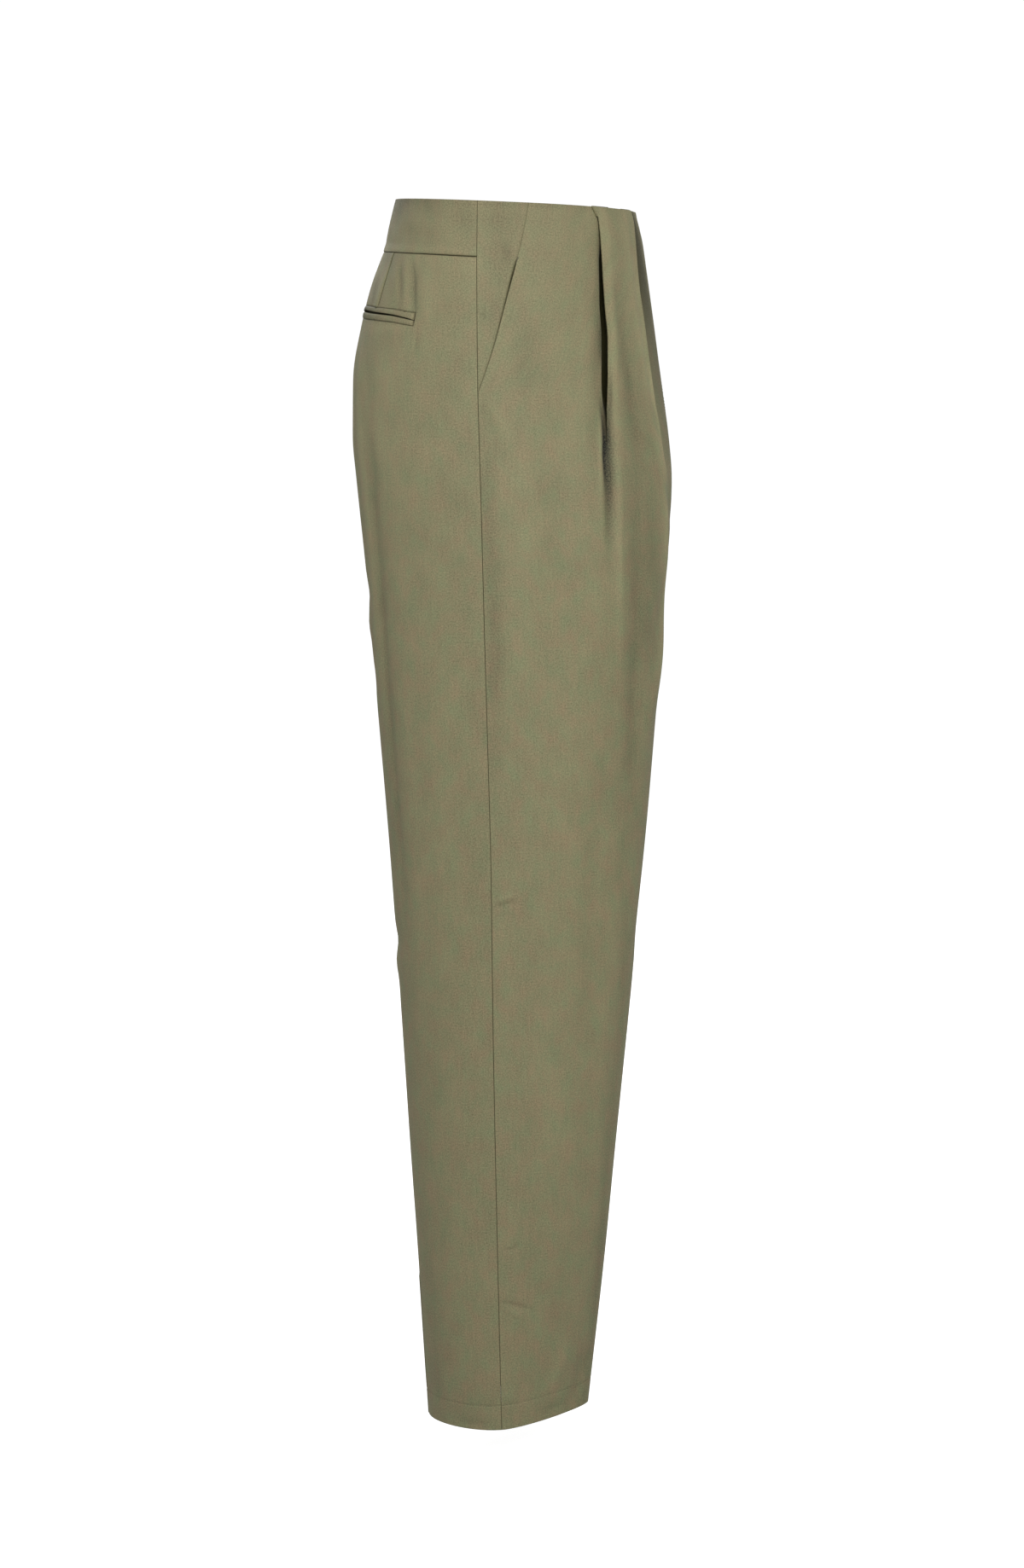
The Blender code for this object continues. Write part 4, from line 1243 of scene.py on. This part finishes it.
def hem_stitches(look, cut, word, side):
    for face in ("front", "back"):
        length = length_at(HEM_STITCHES, face)
        count = int((length - 4 * MM) / cut.hem_stitch_spacing)
        along = np.linspace(2 * MM, length - 2 * MM, count)
        wander = 0.15 * MM * np.sin(np.arange(count) * 2.4)
        name = f"{face}_{word}"
        stitches(
            look, "hem_stitches_" + name, "hem_thread_" + name, face, side,
            np.stack([along, HEM_STITCHES + wander], 1), 1.5 * MM, 0.2 * MM, 0.2 * MM,
        )


def pocket_stitches(look, word, side):
    """The closed top of the slanted pocket, and the tack at the top of its mouth."""
    places = pocket_edge_places(np.arange(-2.0, -47.0, -2.1) * MM, -0.1 * MM)
    stitches(
        look, "pocket_top_stitches_" + word, "pocket_thread_" + word, "front", side,
        places, 1.2 * MM, 0.2 * MM, 0.5 * MM,
    )
    places = pocket_edge_places(np.linspace(-45.5, -50.5, 11) * MM, 0.4 * MM)
    stitches(
        look, "pocket_tack_" + word, "tack_thread_" + word, "front", side,
        places, 2.0 * MM, 0.24 * MM, -0.05 * MM, ACROSS,
    )


def fly_stitches(look):
    """A curved line of stitching on the right front that holds the fly."""
    places = [
        (length_at(h, "front") - FLY_STITCH_RUN, h) for h in np.arange(-3.0, -158.0, -3.0) * MM
    ]
    for angle in np.radians(np.arange(6, 88, 6)):
        h = -FLY_STRAIGHT - FLY_CURVE * math.sin(angle)
        aside = FLY_STITCH_RUN * math.cos(angle)
        places.append((length_at(h, "front") - aside + 0.6 * MM, h))
    stitches(
        look, "fly_stitches", "fly_thread", "front", -1, places,
        2.1 * MM, 0.22 * MM, 0.05 * MM,
    )


def waist_stitches(look, word, side):
    """Small stitches in the seam under the waistband."""
    height = -WAISTBAND_DEPTH - 0.45 * MM
    along = np.arange(3.0, length_at(height, "back") / MM - 2, 2.4) * MM
    stitches(
        look, "waist_seam_stitches_" + word, "waist_thread_" + word, "back", side,
        [(a, height) for a in along], 1.0 * MM, 0.16 * MM, 0.75 * MM, ACROSS,
    )


# ---------------------------------------------------------------- settings


class TrousersCut(bpy.types.PropertyGroup):
    cloth_thickness: FloatProperty(
        name="Cloth thickness", description="Thickness of one layer of cloth",
        default=0.55 * MM, min=0.2 * MM, max=2 * MM, unit="LENGTH", precision=5,
    )
    edge_radius: FloatProperty(
        name="Edge fold radius", description="Radius of the turned waist and hem edges",
        default=0.5 * MM, min=0.3 * MM, max=2 * MM, unit="LENGTH", precision=5,
    )
    hem_depth: FloatProperty(
        name="Hem depth", description="How far the hem is turned up inside",
        default=25 * MM, min=10 * MM, max=60 * MM, unit="LENGTH",
    )
    hem_stitch_spacing: FloatProperty(
        name="Hem stitch spacing", description="Distance between the hem's stitches",
        default=3.2 * MM, min=1 * MM, max=10 * MM, unit="LENGTH",
    )
    seam_radius: FloatProperty(
        name="Seam roll", description="Radius of the pressed edge at each seam",
        default=0.65 * MM, min=0.2 * MM, max=3 * MM, unit="LENGTH", precision=5,
    )
    seam_space: FloatProperty(
        name="Seam space", description="Space on each side of a seam line",
        default=0.05 * MM, min=0.0, max=0.5 * MM, unit="LENGTH", precision=6,
    )
    pocket_gape: FloatProperty(
        name="Pocket gape", description="How far the slanted pocket stands open",
        default=0.6 * MM, min=0.0, max=4 * MM, unit="LENGTH", precision=5,
    )
    welt_gape: FloatProperty(
        name="Welt gape", description="Share of the back pockets' opening that shows",
        default=1.0, min=0.0, max=2.0, subtype="FACTOR",
    )
    fly_lap: FloatProperty(
        name="Fly lap", description="How far the right front laps over the left",
        default=6 * MM, min=0.0, max=15 * MM, unit="LENGTH",
    )
    crease_strength: FloatProperty(
        name="Crease strength", description="Depth of the soft creases, 1 as worn",
        default=1.0, min=0.0, max=2.0, subtype="FACTOR",
    )


class TrousersCloth(bpy.types.PropertyGroup):
    cloth_colour: FloatVectorProperty(
        name="Cloth colour", description="Colour of the twill", subtype="COLOR",
        default=(0.268, 0.246, 0.134), min=0.0, max=1.0,
    )
    # The colour that the painted shade in seams, folds and hollows darkens the cloth to
    painted_shade_colour: FloatVectorProperty(
        name="Painted shade colour", description="Colour deep in seams and folds",
        subtype="COLOR", default=(0.028, 0.025, 0.002), min=0.0, max=1.0,
    )
    thread_colour: FloatVectorProperty(
        name="Thread colour", description="Colour of the sewing thread",
        subtype="COLOR", default=(0.150, 0.138, 0.080), min=0.0, max=1.0,
    )
    rib_spacing: FloatProperty(
        name="Rib spacing", description="Distance between the ribs of the twill",
        default=0.6 * MM, min=0.2 * MM, max=3 * MM, unit="LENGTH", precision=5,
    )
    weave_strength: FloatProperty(
        name="Weave strength", description="How strongly the weave shows in relief",
        default=0.35, min=0.0, max=1.0, subtype="FACTOR",
    )
    roughness: FloatProperty(
        name="Roughness", description="How matt the cloth is",
        default=0.72, min=0.1, max=0.95, subtype="FACTOR",
    )
    sheen: FloatProperty(
        name="Sheen", description="Soft brightness at glancing angles",
        default=0.12, min=0.0, max=1.0, subtype="FACTOR",
    )


class TrousersStage(bpy.types.PropertyGroup):
    floor_drop: FloatProperty(
        name="Floor below waist", description="How far the floor lies below the waist",
        default=1.075, min=1.055, max=3.0, unit="LENGTH",
    )
    floor_colour: FloatVectorProperty(
        name="Floor colour", description="Colour of the pale floor", subtype="COLOR",
        default=(0.5, 0.5, 0.5), min=0.0, max=1.0,
    )
    key_power: FloatProperty(
        name="Key light", description="Power of the large soft light", default=46.0,
        min=0.0, max=500.0, unit="POWER",
    )
    rear_power: FloatProperty(
        name="Rear light", description="Power of the soft light from behind the garment",
        default=16.6, min=0.0, max=500.0, unit="POWER",
    )
    fill_power: FloatProperty(
        name="Fill light", description="Power of the soft light on the far side",
        default=36.0, min=0.0, max=500.0, unit="POWER",
    )
    surround: FloatProperty(
        name="Surround light", description="Strength of the even light from all round",
        default=0.21, min=0.0, max=3.0,
    )
    camera_distance: FloatProperty(
        name="Camera distance", description="From the camera to the middle",
        default=3.0, min=1.5, max=10.0, unit="LENGTH",
    )
    lens: FloatProperty(
        name="Lens", description="Focal length on a frame 36 mm high", default=78.76,
        min=20.0, max=300.0, unit="CAMERA",
    )


SIDES = (("right", -1), ("left", 1))


class TROUSERS_OT_fronts(bpy.types.Operator):
    """Add the two front panels with their box pleats"""

    bl_idname = "trousers.fronts"
    bl_label = "Front Panels"

    def execute(self, context):
        for (word, side), creases in zip(SIDES, (FRONT_CREASES, varied(FRONT_CREASES, 3))):
            piece = front_panel(context, word, side, creases)
        return {"FINISHED"}


class TROUSERS_OT_backs(bpy.types.Operator):
    """Add the two back panels with their darts and pocket openings"""

    bl_idname = "trousers.backs"
    bl_label = "Back Panels"

    def execute(self, context):
        for (word, side), creases in zip(SIDES, (BACK_CREASES, varied(BACK_CREASES, 5))):
            piece = back_panel(context, word, side, creases)
        return {"FINISHED"}


class TROUSERS_OT_waistband(bpy.types.Operator):
    """Add the waistband round the back"""

    bl_idname = "trousers.waistband"
    bl_label = "Waistband"

    def execute(self, context):
        piece = waistband(context)
        return {"FINISHED"}


class TROUSERS_OT_pockets(bpy.types.Operator):
    """Add the side pieces behind the slanted pockets and the back pockets' welts"""

    bl_idname = "trousers.pockets"
    bl_label = "Pockets"

    def execute(self, context):
        for word, side in SIDES:
            piece = pocket_side(context, word, side)
            for which in ("upper", "lower"):
                piece = welt(context, word, side, which)
        return {"FINISHED"}


class TROUSERS_OT_stitching(bpy.types.Operator):
    """Add the hem, pocket, fly and waist stitching"""

    bl_idname = "trousers.stitching"
    bl_label = "Stitching"

    def execute(self, context):
        look, cut = context.scene.trousers_cloth, context.scene.trousers_cut
        for word, side in SIDES:
            hem_stitches(look, cut, word, side)
            pocket_stitches(look, word, side)
            waist_stitches(look, word, side)
        fly_stitches(look)
        return {"FINISHED"}


LIGHT_SIZE, LIGHT_AIM = 1.6, (0, 0, -0.45)
CAMERA_HEIGHT, CAMERA_AIM = -0.075, (0, 0, -0.504)


def aimed_object(name, data, place, aim):
    """A lamp or camera at this place, turned to look at aim."""
    made = bpy.data.objects.new(name, data)
    made.location = place
    made.rotation_euler = (Vector(aim) - Vector(place)).to_track_quat("-Z", "Y").to_euler()
    bpy.context.scene.collection.objects.link(made)
    return made


def soft_light(name, place, power):
    light = bpy.data.lights.new(name, "AREA")
    light.shape = "DISK"
    light.size = LIGHT_SIZE
    light.energy = power
    aimed_object(name, light, place, LIGHT_AIM)


class TROUSERS_OT_stage(bpy.types.Operator):
    """Add the pale floor, the soft studio light and the camera"""

    bl_idname = "trousers.stage"
    bl_label = "Stage"

    def execute(self, context):
        stage = context.scene.trousers_stage
        self.floor(stage)
        self.surround(context.scene, stage)
        soft_light("key_light", (-2.2, -0.67, 0.9), stage.key_power)
        soft_light("rear_light", (-0.6, 2.22, 0.9), stage.rear_power)
        soft_light("fill_light", (2.25, 0.45, 0.9), stage.fill_power)
        self.camera(context.scene, stage)
        return {"FINISHED"}

    def floor(self, stage):
        plane = bmesh.new()
        bmesh.ops.create_grid(
            plane, x_segments=1, y_segments=1, size=14.0,
            matrix=Matrix.Translation((0, 0, -stage.floor_drop)),
        )
        mesh = mesh_of(plane, "studio_floor")
        material, w, shader = new_material("studio_floor")
        where = w.node("ShaderNodeTexCoord", output="Object")
        level = w.spread(w.noise(where, (3, 3, 3), 3.0), 0.995, 1.005)
        seen = w.node("ShaderNodeLightPath", output="Is Camera Ray")
        w.fill(shader, {
            "Base Color": w.scaled((*stage.floor_colour,), level), "Roughness": 0.9,
            "Emission Color": (1, 1, 1, 1), "Emission Strength": w.times(seen, 0.95),
        })
        mesh.materials.append(material)
        floor = bpy.data.objects.new("studio_floor", mesh)
        bpy.context.scene.collection.objects.link(floor)

    def surround(self, scene, stage):
        world = bpy.data.worlds.new("studio_surround")
        world.use_nodes = True
        w = Wires(world.node_tree)
        seen = w.node("ShaderNodeLightPath", output="Is Camera Ray")
        strength = w.total(w.times(seen, 1.02 - stage.surround), stage.surround)
        background = {"Color": (1, 1, 1, 1), "Strength": strength}
        w.fill(world.node_tree.nodes["Background"], background)
        scene.world = world
        scene.view_settings.view_transform = "Standard"

    def camera(self, scene, stage):
        view = bpy.data.cameras.new("side_view")
        view.lens = stage.lens
        view.sensor_fit = "VERTICAL"
        view.sensor_height = 36.0
        place = (-stage.camera_distance, 0.0, CAMERA_HEIGHT)
        scene.camera = aimed_object("side_view", view, place, CAMERA_AIM)


class TROUSERS_PT_panel(bpy.types.Panel):
    bl_label = "Pleated Trousers"
    bl_idname = "TROUSERS_PT_panel"
    bl_space_type = "VIEW_3D"
    bl_region_type = "UI"
    bl_category = "Trousers"

    def draw(self, context):
        for step in STEPS:
            self.layout.operator(step.bl_idname)
        for setting, group in SETTINGS:
            box = self.layout.box()
            for name in group.__annotations__:
                box.prop(getattr(context.scene, setting), name)


STEPS = (
    TROUSERS_OT_fronts, TROUSERS_OT_backs, TROUSERS_OT_waistband, TROUSERS_OT_pockets,
    TROUSERS_OT_stitching, TROUSERS_OT_stage,
)
SETTINGS = (
    ("trousers_cut", TrousersCut), ("trousers_cloth", TrousersCloth),
    ("trousers_stage", TrousersStage),
)


def register():
    for name, group in SETTINGS:
        bpy.utils.register_class(group)
        setattr(bpy.types.Scene, name, PointerProperty(type=group))
    for step in (*STEPS, TROUSERS_PT_panel):
        bpy.utils.register_class(step)


def unregister():
    for step in (TROUSERS_PT_panel, *STEPS[::-1]):
        bpy.utils.unregister_class(step)
    for name, group in SETTINGS[::-1]:
        delattr(bpy.types.Scene, name)
        bpy.utils.unregister_class(group)


def main():
    register()
    bpy.ops.trousers.fronts()
    bpy.ops.trousers.backs()
    bpy.ops.trousers.waistband()
    bpy.ops.trousers.pockets()
    bpy.ops.trousers.stitching()
    bpy.ops.trousers.stage()


if __name__ == "__main__":
    main()
